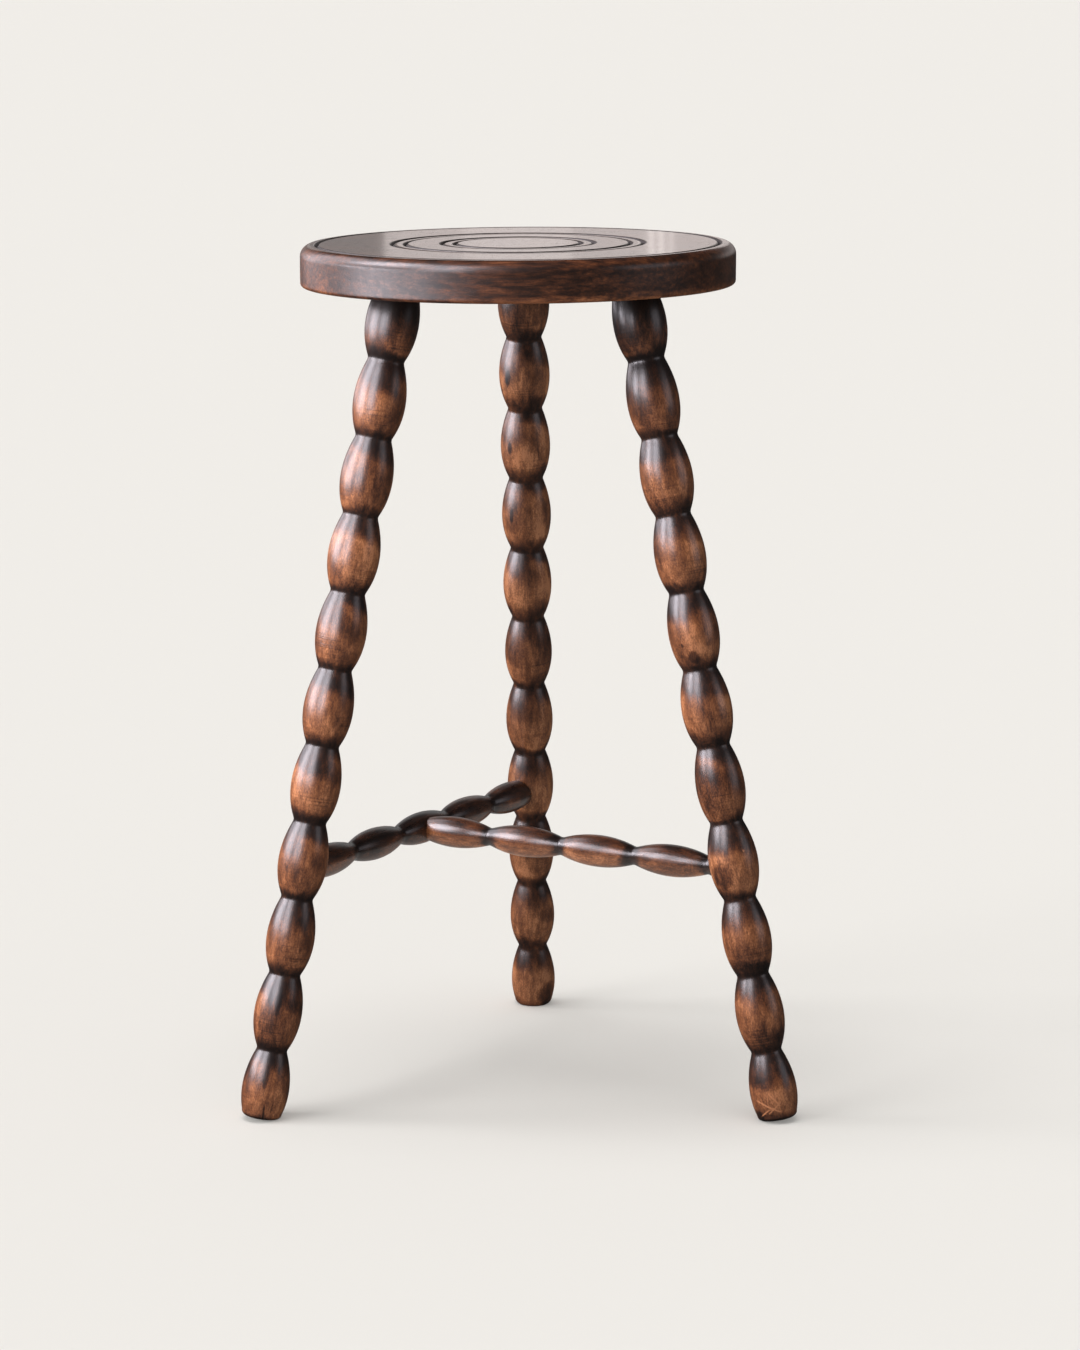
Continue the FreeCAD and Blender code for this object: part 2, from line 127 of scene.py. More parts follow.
def drift(place: Array, turn: Array, seed: int, length: float) -> Array:
    """Smooth random value that closes around a bar.

    It is the sum of six cosines over the root of six. Each is the cosine of k times the turn,
    plus a full turn times the place over a wave's length, plus a random phase, with k from 0
    to 3 and the wave 0.6 to 1.6 times as long as the length given.

    Args:
        place: Places along the axis.
        turn: Turns around it, in radians.
        seed: Seed of the random phases.
        length: Typical length of a wave along the axis.

    Returns:
        Array from about -1 to 1.
    """
    rng = np.random.default_rng(seed)
    total = np.zeros(np.broadcast(place, turn).shape)
    for _ in range(DRIFT_WAVES):
        around = int(rng.integers(0, DRIFT_ROUNDS))
        wave = length * rng.uniform(*DRIFT_LENGTHS)
        phase = rng.uniform(0.0, FULL_TURN)
        total += np.cos(around * turn + FULL_TURN * place / wave + phase)
    return total / math.sqrt(DRIFT_WAVES)


def carried_around(rows: Array, around: int) -> Array:
    """Value of each row, repeated at every turn."""
    return np.repeat(rows[:, None], around, axis=1)


def even_turns(rows: int, around: int) -> Array:
    """Turn of each grid point, in even steps around the axis and the same in every row."""
    turn = np.linspace(0.0, FULL_TURN, around, endpoint=False)
    return np.repeat(turn[None, :], rows, axis=0)


def outward(azimuth: float) -> Array:
    """Level direction from the seat's axis, for an azimuth in degrees."""
    angle = math.radians(azimuth)
    return np.array([math.cos(angle), math.sin(angle), 0.0])


@dataclass(frozen=True)
class Axis:
    """Line that a piece is turned about."""

    origin: Array
    along: Array
    side: Array

    @classmethod
    def between(cls, start: Array, finish: Array) -> "Axis":
        """Level axis from one point to another, with its turns counted from the top."""
        run = finish - start
        return cls(start, run / np.linalg.norm(run), UP)

    def lay(self, radius: Array, place: Array, turn: Array) -> Array:
        """Points of a surface of revolution on this axis.

        A point is the origin, plus its place times the axis, plus its radius times the side
        direction swung about the axis by its turn.

        Args:
            radius: Distance from the axis at each grid point.
            place: Distance along the axis at each grid point.
            turn: Turn about the axis at each grid point, in radians.

        Returns:
            Array of points, with a last dimension of three.
        """
        across = np.cross(self.along, self.side)
        swung = np.cos(turn)[..., None] * self.side + np.sin(turn)[..., None] * across
        return self.origin + place[..., None] * self.along + radius[..., None] * swung


def bar_wood(radius: Array, place: Array, turn: Array, start: float) -> Array:
    """Place in the wood of each point of a bar, whose grain runs along it.

    It is the radius times the cosine and the sine of the turn, then the place, each with the
    start added, so that no two bars are cut from the same wood.

    Args:
        radius: Distance from the axis at each grid point.
        place: Distance along the axis at each grid point.
        turn: Turn about the axis at each grid point, in radians.
        start: Place in the wood of the bar's own start.

    Returns:
        Array of places, with a last dimension of three.
    """
    return np.stack([radius * np.cos(turn), radius * np.sin(turn), place], axis=-1) + start


@dataclass
class Skin:
    """Closed surface on a grid that wraps around, with the values that its finish reads."""

    points: Array
    wood: Array
    values: dict[str, Array]

    def faces(self) -> tuple[Array, Array]:
        """Quads between the grid's rows and triangles that close its two ends.

        A quad joins a point, the next point around, and the two below them. Each end is a fan
        to one point, which comes after all the grid's points.

        Returns:
            The quads and the triangles, as arrays of point numbers.
        """
        rows, around = self.points.shape[:2]
        index = np.arange(rows * around).reshape(rows, around)
        ahead = np.roll(index, -1, axis=1)
        quads = np.stack([index[:-1], index[1:], ahead[1:], ahead[:-1]], axis=-1).reshape(-1, 4)
        first = np.full(around, rows * around)
        top = np.stack([first, index[0], ahead[0]], axis=-1)
        bottom = np.stack([first + 1, ahead[-1], index[-1]], axis=-1)
        return quads, np.concatenate([top, bottom])

    @staticmethod
    def with_ends(grid: Array) -> Array:
        """The grid's values in one run, followed by the mean of its first and last rows.

        Args:
            grid: Values by row and turn.

        Returns:
            The values in the order of the mesh's points.
        """
        flat = grid.reshape(-1, *grid.shape[2:])
        ends = [grid[0].mean(axis=0)[None], grid[-1].mean(axis=0)[None]]
        return np.concatenate([flat, *ends])

    def to_object(self, name: str) -> Piece:
        """Make the mesh and its object, with smooth shading and one attribute per value.

        Args:
            name: Name of the piece.

        Returns:
            The new object, at the origin.
        """
        quads, triangles = self.faces()
        mesh = bpy.data.meshes.new(name)
        corners = self.with_ends(self.points)
        mesh.from_pydata(corners.tolist(), [], quads.tolist() + triangles.tolist())
        mesh.shade_smooth()
        grain = mesh.attributes.new("wood", "FLOAT_VECTOR", "POINT")
        grain.data.foreach_set("vector", self.with_ends(self.wood).astype(np.float32).ravel())
        for key, value in self.values.items():
            layer = mesh.attributes.new(key, "FLOAT", "POINT")
            layer.data.foreach_set("value", self.with_ends(value).astype(np.float32))
        mesh.update()
        piece = bpy.data.objects.new(name, mesh)
        bpy.context.scene.collection.objects.link(piece)
        return piece


@dataclass(frozen=True)
class Grain:
    """Noise in a finish.

    Its scale is in features to the metre along each axis. It has some finer layers, and each of
    them is a share as strong as the one before.
    """

    scale: Triple
    layers: float
    share: float


PATCHES = Grain((60.0, 60.0, 30.0), 3.0, 0.6)
MOTTLE = Grain((230.0, 230.0, 85.0), 2.0, 0.55)
STREAKS = Grain((390.0, 390.0, 50.0), 2.0, 0.55)
FLECKS = Grain((1150.0, 1150.0, 600.0), 1.0, 0.5)
FIBRES = Grain((620.0, 620.0, 16.0), 3.0, 0.6)
PORES = Grain((1500.0, 1500.0, 120.0), 1.0, 0.5)
RING_BENDS = Grain((26.0, 26.0, 7.0), 2.0, 0.5)
TOOL_RINGS = Grain((12.0, 12.0, 950.0), 1.0, 0.5)
MARK_EDGES = Grain((900.0, 900.0, 420.0), 2.0, 0.6)
STEEL_FILM = Grain((900.0, 900.0, 900.0), 3.0, 0.6)
WEDGE_FIBRES = Grain((700.0, 700.0, 40.0), 4.0, 0.6)
MIDDLE_BAND = (0.3, 0.7)


class Bench:
    """Adds nodes to one shader tree and joins them."""

    def __init__(self, tree: bpy.types.NodeTree) -> None:
        """Start with an empty tree."""
        self.tree = tree
        self.tree.nodes.clear()

    @classmethod
    def with_material(cls, name: str) -> tuple["Bench", bpy.types.Material]:
        """A new material, and a bench for its tree.

        Args:
            name: Name of the material.

        Returns:
            The bench and the material.
        """
        material = bpy.data.materials.new(name)
        material.use_nodes = True
        return cls(material.node_tree), material

    def add(
        self, kind: str, feeds: dict[str | int, object] | None = None, **settings: object
    ) -> bpy.types.Node:
        """Add a node, set its properties and feed its inputs.

        Args:
            kind: Type of the node.
            feeds: Value or socket for each input, by name or number.
            **settings: Properties of the node.

        Returns:
            The new node.
        """
        node = self.tree.nodes.new(kind)
        for key, value in settings.items():
            setattr(node, key, value)
        for key, value in (feeds or {}).items():
            if isinstance(value, Socket):
                self.tree.links.new(value, node.inputs[key])
            else:
                node.inputs[key].default_value = value
        return node

    def reckon(self, operation: str, *terms: float | Socket, clamp: bool = False) -> Socket:
        """Result of a Math node on values or sockets."""
        feeds = dict(enumerate(terms))
        return self.add("ShaderNodeMath", feeds, operation=operation, use_clamp=clamp).outputs[0]

    def length(self, vector: Socket) -> Socket:
        """Length of a vector."""
        node = self.add("ShaderNodeVectorMath", {0: vector}, operation="LENGTH")
        return node.outputs["Value"]

    def value(self, name: str) -> Socket:
        """One of the piece's own values, as a number."""
        return self.add("ShaderNodeAttribute", attribute_name=name).outputs["Fac"]

    def wood(self) -> Socket:
        """Place within the wood, in metres, with the grain along Z."""
        return self.add("ShaderNodeAttribute", attribute_name="wood").outputs["Vector"]

    def own_place(self) -> Socket:
        """Place on the object, in metres."""
        return self.add("ShaderNodeTexCoord").outputs["Object"]

    def noise(self, where: Socket, grain: Grain) -> Socket:
        """Smooth noise from 0 to 1, read at a place multiplied by the grain's scale.

        Args:
            where: Place that the noise is read at.
            grain: Scale and layers of the noise.

        Returns:
            The noise as a number.
        """
        scaled = self.add("ShaderNodeVectorMath", {0: where, 1: grain.scale}, operation="MULTIPLY")
        feeds = {
            "Vector": scaled.outputs[0],
            "Scale": 1.0,
            "Detail": grain.layers,
            "Roughness": grain.share,
        }
        return self.add("ShaderNodeTexNoise", feeds).outputs["Fac"]

    def eased(self, value: Socket, band: Band, to: Band = WHOLE) -> Socket:
        """Ease from one number to another as a value goes through a band.

        Args:
            value: Value to ease.
            band: Where the value is when the result starts and when it ends.
            to: First and last result.

        Returns:
            The result as a number.
        """
        feeds = {
            "Value": value,
            "From Min": band[0],
            "From Max": band[1],
            "To Min": to[0],
            "To Max": to[1],
        }
        return self.add("ShaderNodeMapRange", feeds, interpolation_type="SMOOTHSTEP").outputs[0]

    def tinted(self, share: Socket, low: Socket | Tone, high: Socket | Tone) -> Socket:
        """Mix of two colours by a share.

        Args:
            share: 0 for the low colour, 1 for the high one.
            low: Colour at 0, as a tone or a socket.
            high: Colour at 1, as a tone or a socket.

        Returns:
            The mixed colour.
        """
        feeds = {0: share}
        for number, colour in ((6, low), (7, high)):
            feeds[number] = colour if isinstance(colour, Socket) else (*colour, 1.0)
        return self.add("ShaderNodeMix", feeds, data_type="RGBA").outputs[2]

    def toned(self, value: Socket, tones: Ramp) -> Socket:
        """Colour from a run of tones, each at its place between 0 and 1.

        Args:
            value: Place in the run.
            tones: Each tone after its place.

        Returns:
            The colour.
        """
        node = self.add("ShaderNodeValToRGB", {"Fac": value})
        marks = node.color_ramp.elements
        while len(marks) < len(tones):
            marks.new(0.5)
        for mark, (place, tone) in zip(marks, tones):
            mark.position = place
            mark.color = (*tone, 1.0)
        return node.outputs["Color"]

    def relief(self, height: Socket, strength: float, distance: float) -> Socket:
        """Surface direction that a fine relief gives."""
        feeds = {"Height": height, "Strength": strength, "Distance": distance}
        return self.add("ShaderNodeBump", feeds).outputs["Normal"]

    def finish(self, kind: str, feeds: dict[str | int, object]) -> None:
        """Add the surface's own shader and give it to the material."""
        surface = self.add(kind, feeds)
        self.add("ShaderNodeOutputMaterial", {"Surface": surface.outputs[0]})


@dataclass(frozen=True)
class Mark:
    """Dent, blot or scratch in a turned piece: a soft ellipsoid that changes the stain's depth.

    Its middle is given by its place along the piece, its turn in degrees and its radius there.
    Its half sizes run along the piece, around it and outward, and it leans by some degrees. The
    extra is what it adds to the stain's depth, and the inner share is where its edge begins.
    """

    place: float
    turn: float
    radius: float
    long: float
    wide: float
    extra: float
    lean: float = 0.0
    deep: float = 0.006
    ragged: float = 0.5
    inner: float = 0.5

    def share(self, bench: Bench, where: Socket, start: float) -> Socket:
        """The mark's part of the stain's depth.

        The wood is read from the mark's middle, turned so that its axes run outward, around and
        along the bar, leaned about the outward one and divided by its half sizes. The distance
        from the middle, roughened by noise, is eased to nothing at its edge.

        Args:
            bench: Bench of the finish.
            where: Place within the wood.
            start: Place in the wood of the bar's own start.

        Returns:
            The part to add to the depth.
        """
        angle = math.radians(self.turn)
        middle = (
            start + self.radius * math.cos(angle),
            start + self.radius * math.sin(angle),
            start + self.place,
        )
        feeds = {
            "Vector": where,
            "Location": middle,
            "Rotation": (math.radians(self.lean), 0.0, angle),
            "Scale": (self.deep, self.wide, self.long),
        }
        local = bench.add("ShaderNodeMapping", feeds, vector_type="TEXTURE").outputs[0]
        rough = bench.noise(where, MARK_EDGES)
        distance = bench.reckon("MULTIPLY_ADD", rough, self.ragged, bench.length(local))
        edge = (self.inner + self.ragged / 2.0, 1.0 + self.ragged / 2.0)
        return bench.eased(distance, edge, (self.extra, 0.0))


@dataclass(frozen=True)
class WoodFinish:
    """Stained and waxed hardwood, seen along the wood's own grain.

    A share is how far its pattern moves the stain's depth either way, or darkens the colour for
    the pores. A height is how far its pattern lifts the relief. The shine is the strength of
    the reflection.
    """

    name: str
    slot: str
    tones: Ramp
    ring_spacing: float = 0.0034
    ring_share: float = 0.02
    ring_bend: float = 0.012
    patch_share: float = 0.17
    mottle_share: float = 0.11
    streak_share: float = 0.04
    fibre_share: float = 0.04
    fleck_share: float = 0.13
    pore_share: float = 0.45
    tooled_share: float = 0.22
    bare_depth: float = 0.13
    pore_tone: Tone = (0.020, 0.011, 0.008)
    pore_band: Band = (0.60, 0.74)
    tooled_band: Band = (0.52, 0.68)
    roughness: float = 0.31
    polished: float = 0.20
    gloss_swing: Band = (-0.03, 0.04)
    shine: float = 0.7
    fibre_height: float = 0.5
    pore_height: float = -0.9
    tooled_height: float = -0.8
    relief_strength: float = 0.5
    relief: float = 0.00009

    def rings(self, bench: Bench, where: Socket) -> Socket:
        """Growth rings: the sine of a full turn times the bent distance over their spacing.

        The distance is from the heart of the tree, and noise bends it.

        Args:
            bench: Bench of the finish.
            where: Place within the wood.

        Returns:
            The rings, from -1 to 1.
        """
        bend = bench.noise(where, RING_BENDS)
        split = bench.add("ShaderNodeSeparateXYZ", {0: where})
        flat = bench.add("ShaderNodeCombineXYZ", {"X": split.outputs["X"], "Y": split.outputs["Y"]})
        across = bench.reckon("MULTIPLY_ADD", bend, self.ring_bend, bench.length(flat.outputs[0]))
        return bench.reckon("SINE", bench.reckon("MULTIPLY", across, FULL_TURN / self.ring_spacing))

    def material(self, marks: tuple[Mark, ...] = (), start: float = 0.0) -> bpy.types.Material:
        """Build the finish.

        The stain's depth is the piece's own stain value plus growth rings, patches, mottle,
        short streaks, flecks and fibres, each eased so that it swings by its own share, the
        piece's marks and the tool's rings. It is then pressed together above the depth of bare
        wood. Pores are short dark flecks along the grain. Fibres, pores and the tool's rings
        make the relief, fibres vary the gloss, and the piece's own polish value moves it.

        Args:
            marks: Marks in the piece's surface.
            start: Place in the wood of the piece's own start.

        Returns:
            The material.
        """
        bench, material = Bench.with_material(self.name)
        where = bench.wood()
        fibres = bench.noise(where, FIBRES)
        patterns = (
            (bench.noise(where, PATCHES), self.patch_share),
            (bench.noise(where, MOTTLE), self.mottle_share),
            (bench.noise(where, STREAKS), self.streak_share),
            (bench.noise(where, FLECKS), self.fleck_share),
            (fibres, self.fibre_share),
        )
        rings = self.rings(bench, where)
        depth = bench.reckon("MULTIPLY_ADD", rings, self.ring_share, bench.value("stain"))
        for pattern, share in patterns:
            depth = bench.reckon("ADD", depth, bench.eased(pattern, MIDDLE_BAND, (-share, share)))
        for mark in marks:
            depth = bench.reckon("ADD", depth, mark.share(bench, where, start))
        tool = bench.eased(bench.noise(where, TOOL_RINGS), self.tooled_band)
        tooled = bench.reckon("MULTIPLY", tool, bench.value("tooled"))
        depth = bench.reckon("MULTIPLY_ADD", tooled, self.tooled_share, depth)
        depth = bench.reckon("MULTIPLY_ADD", depth, 1.0 - self.bare_depth, self.bare_depth, clamp=True)
        pores = bench.eased(bench.noise(where, PORES), self.pore_band)
        pores = bench.reckon("MULTIPLY", pores, self.pore_share)
        colour = bench.tinted(pores, bench.toned(depth, self.tones), self.pore_tone)
        height = bench.reckon("MULTIPLY", pores, self.pore_height)
        height = bench.reckon("MULTIPLY_ADD", fibres, self.fibre_height, height)
        height = bench.reckon("MULTIPLY_ADD", tooled, self.tooled_height, height)
        roughness = tuple(self.roughness + swing for swing in self.gloss_swing)
        gloss = bench.eased(fibres, MIDDLE_BAND, roughness)
        rubbed = bench.reckon("MULTIPLY", bench.value("polish"), self.polished - self.roughness)
        feeds = {
            "Base Color": colour,
            "Roughness": bench.reckon("ADD", gloss, rubbed),
            "Specular IOR Level": self.shine,
            "Normal": bench.relief(height, self.relief_strength, self.relief),
        }
        bench.finish("ShaderNodeBsdfPrincipled", feeds)
        return material


@dataclass(frozen=True)
class SteelFinish:
    """Plain drawn steel with a grey film of age."""

    name: str = "drawn_steel"
    bright_tone: Tone = (0.42, 0.41, 0.40)
    film_tone: Tone = (0.20, 0.18, 0.16)
    roughness: Band = (0.28, 0.5)

    def material(self) -> bpy.types.Material:
        """Build the finish, with fine patches of film in its colour and its gloss.

        Returns:
            The material.
        """
        bench, material = Bench.with_material(self.name)
        film = bench.noise(bench.own_place(), STEEL_FILM)
        feeds = {
            "Base Color": bench.tinted(film, self.bright_tone, self.film_tone),
            "Metallic": 1.0,
            "Roughness": bench.eased(film, MIDDLE_BAND, self.roughness),
        }
        bench.finish("ShaderNodeBsdfPrincipled", feeds)
        return material


@dataclass(frozen=True)
class PlainWoodFinish:
    """Unstained hardwood of a piece that is hidden in its joint."""

    name: str = "raw_wedge_wood"
    pale_tone: Tone = (0.46, 0.29, 0.15)
    dark_tone: Tone = (0.28, 0.15, 0.07)
    roughness: float = 0.7
    relief_strength: float = 0.4
    relief: float = 0.0001

    def material(self) -> bpy.types.Material:
        """Build the finish, pale with fine upright grain.

        Returns:
            The material.
        """
        bench, material = Bench.with_material(self.name)
        fibres = bench.noise(bench.own_place(), WEDGE_FIBRES)
        feeds = {
            "Base Color": bench.tinted(fibres, self.pale_tone, self.dark_tone),
            "Roughness": self.roughness,
            "Normal": bench.relief(fibres, self.relief_strength, self.relief),
        }
        bench.finish("ShaderNodeBsdfPrincipled", feeds)
        return material


TURNED_TONES = (
    (0.00, (0.360, 0.150, 0.064)),
    (0.13, (0.245, 0.096, 0.038)),
    (0.32, (0.145, 0.052, 0.020)),
    (0.56, (0.062, 0.022, 0.010)),
    (0.78, (0.023, 0.010, 0.006)),
    (1.00, (0.009, 0.005, 0.004)),
)
LEG_FINISH = WoodFinish("rubbed_leg_stain", "leg_wood", TURNED_TONES)
STRETCHER_FINISH = WoodFinish("rubbed_stretcher_stain", "stretcher_wood", TURNED_TONES)
SEAT_FINISH = WoodFinish(
    "waxed_seat_stain",
    "seat_wood",
    TURNED_TONES,
    ring_spacing=0.0065,
    ring_share=0.07,
    ring_bend=0.05,
    patch_share=0.11,
    mottle_share=0.06,
    streak_share=0.09,
    fibre_share=0.12,
    fleck_share=0.05,
    roughness=0.33,
    polished=0.11,
    shine=0.5,
    relief=0.00008,
)

REAR_MARKS = (
    Mark(0.0885, 220.0, 0.0201, long=0.0085, wide=0.0034, extra=0.60),
    Mark(0.0900, 222.0, 0.0201, long=0.0030, wide=0.0014, extra=0.30),
    Mark(0.1465, 218.0, 0.0199, long=0.0066, wide=0.0029, extra=0.55),
    Mark(0.2030, 216.0, 0.0197, long=0.0080, wide=0.0024, extra=0.55),
    Mark(0.1010, 250.0, 0.0190, long=0.0030, wide=0.0060, extra=0.22),
    Mark(0.6055, 202.0, 0.0174, long=0.0036, wide=0.0006, extra=-0.6, ragged=0.9),
    Mark(0.6185, 168.0, 0.0183, long=0.0022, wide=0.0007, extra=-0.6, lean=25.0, ragged=0.9),
    Mark(0.6290, 132.0, 0.0176, long=0.0170, wide=0.0120, extra=0.55),
)
LEFT_MARKS = (
    Mark(0.0900, 292.0, 0.0190, long=0.0130, wide=0.0110, extra=-0.22),
    Mark(0.6340, 292.0, 0.0159, long=0.0100, wide=0.0009, extra=0.45, lean=3.0),
    Mark(0.6290, 272.0, 0.0168, long=0.0050, wide=0.0008, extra=0.30),
    Mark(0.5480, 300.0, 0.0165, long=0.0130, wide=0.0030, extra=0.50),
    Mark(0.5440, 322.0, 0.0165, long=0.0110, wide=0.0035, extra=0.45),
    Mark(0.6060, 300.0, 0.0170, long=0.0120, wide=0.0028, extra=0.40),
)
RIGHT_MARKS = (
    Mark(0.6278, 78.0, 0.0172, long=0.0008, wide=0.0150, extra=-0.9, lean=-32.0, ragged=0.9),
    Mark(0.6300, 66.0, 0.0170, long=0.0007, wide=0.0085, extra=-0.8, lean=38.0, ragged=0.9),
    Mark(0.6330, 96.0, 0.0165, long=0.0007, wide=0.0080, extra=-0.8, lean=30.0, ragged=0.9),
    Mark(0.6230, 60.0, 0.0176, long=0.0007, wide=0.0070, extra=-0.8, lean=-55.0, ragged=0.9),
    Mark(0.6020, 20.0, 0.0178, long=0.0080, wide=0.0020, extra=0.40),
    Mark(0.6350, 118.0, 0.0158, long=0.0060, wide=0.0050, extra=0.35),
    Mark(0.2835, 68.0, 0.0170, long=0.0070, wide=0.0055, extra=0.45),
    Mark(0.2735, 92.0, 0.0189, long=0.0022, wide=0.0009, extra=0.40, lean=25.0),
    Mark(0.4510, 94.0, 0.0180, long=0.0140, wide=0.0120, extra=0.50),
    Mark(0.4330, 30.0, 0.0185, long=0.0014, wide=0.0011, extra=-0.5, ragged=0.9),
    Mark(0.4500, 52.0, 0.0182, long=0.0030, wide=0.0007, extra=-0.5, lean=8.0, ragged=0.9),
)


@dataclass(frozen=True)
class Stance:
    """Where the legs and stretchers run, worked out from a few driving sizes."""

    seat_axis_y: float
    underside: float
    leg_circle: float = 0.1017
    foot_circle: float = 0.2267
    first_neck_drop: float = 0.0525
    foot_bead_cut: float = 0.0047
    sole_rise: float = 0.0010
    stretcher_drop: float = 0.0070
    leg_beads: int = 11
    jointed_bead: int = 8
    stretcher_beads: int = 5

    @property
    def splay(self) -> float:
        """Lean of a leg from upright, in radians."""
        return math.atan((self.foot_circle - self.leg_circle) / self.underside)

    @property
    def leg_length(self) -> float:
        """Length of a leg's axis from the seat to the floor."""
        return self.underside / math.cos(self.splay)

    @property
    def leg_pitch(self) -> float:
        """Length of one bead of a leg."""
        return (self.leg_length + self.foot_bead_cut - self.first_neck_drop) / (self.leg_beads - 1)

    @property
    def neck_inset(self) -> float:
        """How far the leg's upper neck lies above the underside of the seat, along the axis."""
        return self.leg_pitch - self.first_neck_drop

    @property
    def sole(self) -> float:
        """Place of the sole along a leg's axis, counted from its upper neck."""
        return self.neck_inset + self.leg_length - self.sole_rise / math.cos(self.splay)

    @property
    def stretcher_fall(self) -> float:
        """How far the stretchers lie below the underside of the seat."""
        bead_place = self.leg_pitch * (self.jointed_bead - 0.5) - self.neck_inset
        return bead_place * math.cos(self.splay) + self.stretcher_drop

    @property
    def stretcher_radius(self) -> float:
        """Distance of the leg joints from the seat's axis."""
        return self.leg_circle + self.stretcher_fall * math.tan(self.splay)

    def leg_axis(self, leg: LegName) -> Axis:
        """Axis of a leg, from its upper neck down, with its turns counted from the outside.

        It runs outward by the sine of the splay and down by its cosine.

        Args:
            leg: Which leg.

        Returns:
            The axis.
        """
        out = outward(leg.value)
        along = math.sin(self.splay) * out - math.cos(self.splay) * UP
        top = np.array([0.0, self.seat_axis_y, self.underside]) + self.leg_circle * out
        side = math.cos(self.splay) * out + math.sin(self.splay) * UP
        return Axis(top - self.neck_inset * along, along, side)

    def joint(self, leg: LegName) -> Array:
        """Point on a leg's axis that a stretcher is aimed at.

        Args:
            leg: Which leg.

        Returns:
            The point.
        """
        height = self.underside - self.stretcher_fall
        centre = np.array([0.0, self.seat_axis_y, height])
        return centre + self.stretcher_radius * outward(leg.value)


@dataclass(frozen=True)
class BeadRun:
    """Row of beads along a bar, each an arc of a circle between two necks."""

    pitch: float
    crowns: Array
    necks: Array
    seed: int
    neck_softness: float = 0.00060
    crown_drop: float = 0.0018
    uneven: float = 0.0003

    def radius(self, place: Array) -> Array:
        """Radius of the bar at places along it.

        A bead with half length h, crown radius R and mean neck radius n is an arc of radius
        A = (h^2 + (R - n)^2) / (2 (R - n)) about a centre A - R beyond the axis. Its middle is
        moved a little down. The beads are joined with a soft maximum, which is the logarithm
        of a sum of exponentials and leaves a small hollow in each neck.

        Args:
            place: Places along the axis.

        Returns:
            Radius at each place.
        """
        rng = np.random.default_rng(self.seed)
        count = len(self.crowns)
        half = self.pitch / 2.0
        neck = (self.necks[:-1] + self.necks[1:]) / 2.0
        rise = self.crowns - neck
        arc = (half**2 + rise**2) / (2.0 * rise)
        middle = half * (2.0 * np.arange(count) + 1.0)
        crown = self.crowns - rng.uniform(0.0, self.uneven, count)
        offset = (place[..., None] - middle) / half
        inside = np.clip(offset, -1.0, 1.0)
        moved = half * offset - self.crown_drop * (1.0 - inside**2)
        reach = np.sqrt(np.clip(arc**2 - moved**2, 0.0, None))
        swell = (reach - arc + crown) / self.neck_softness
        peak = swell.max(axis=-1, keepdims=True)
        soft = peak[..., 0] + np.log(np.exp(swell - peak).sum(axis=-1))
        return self.neck_softness * soft


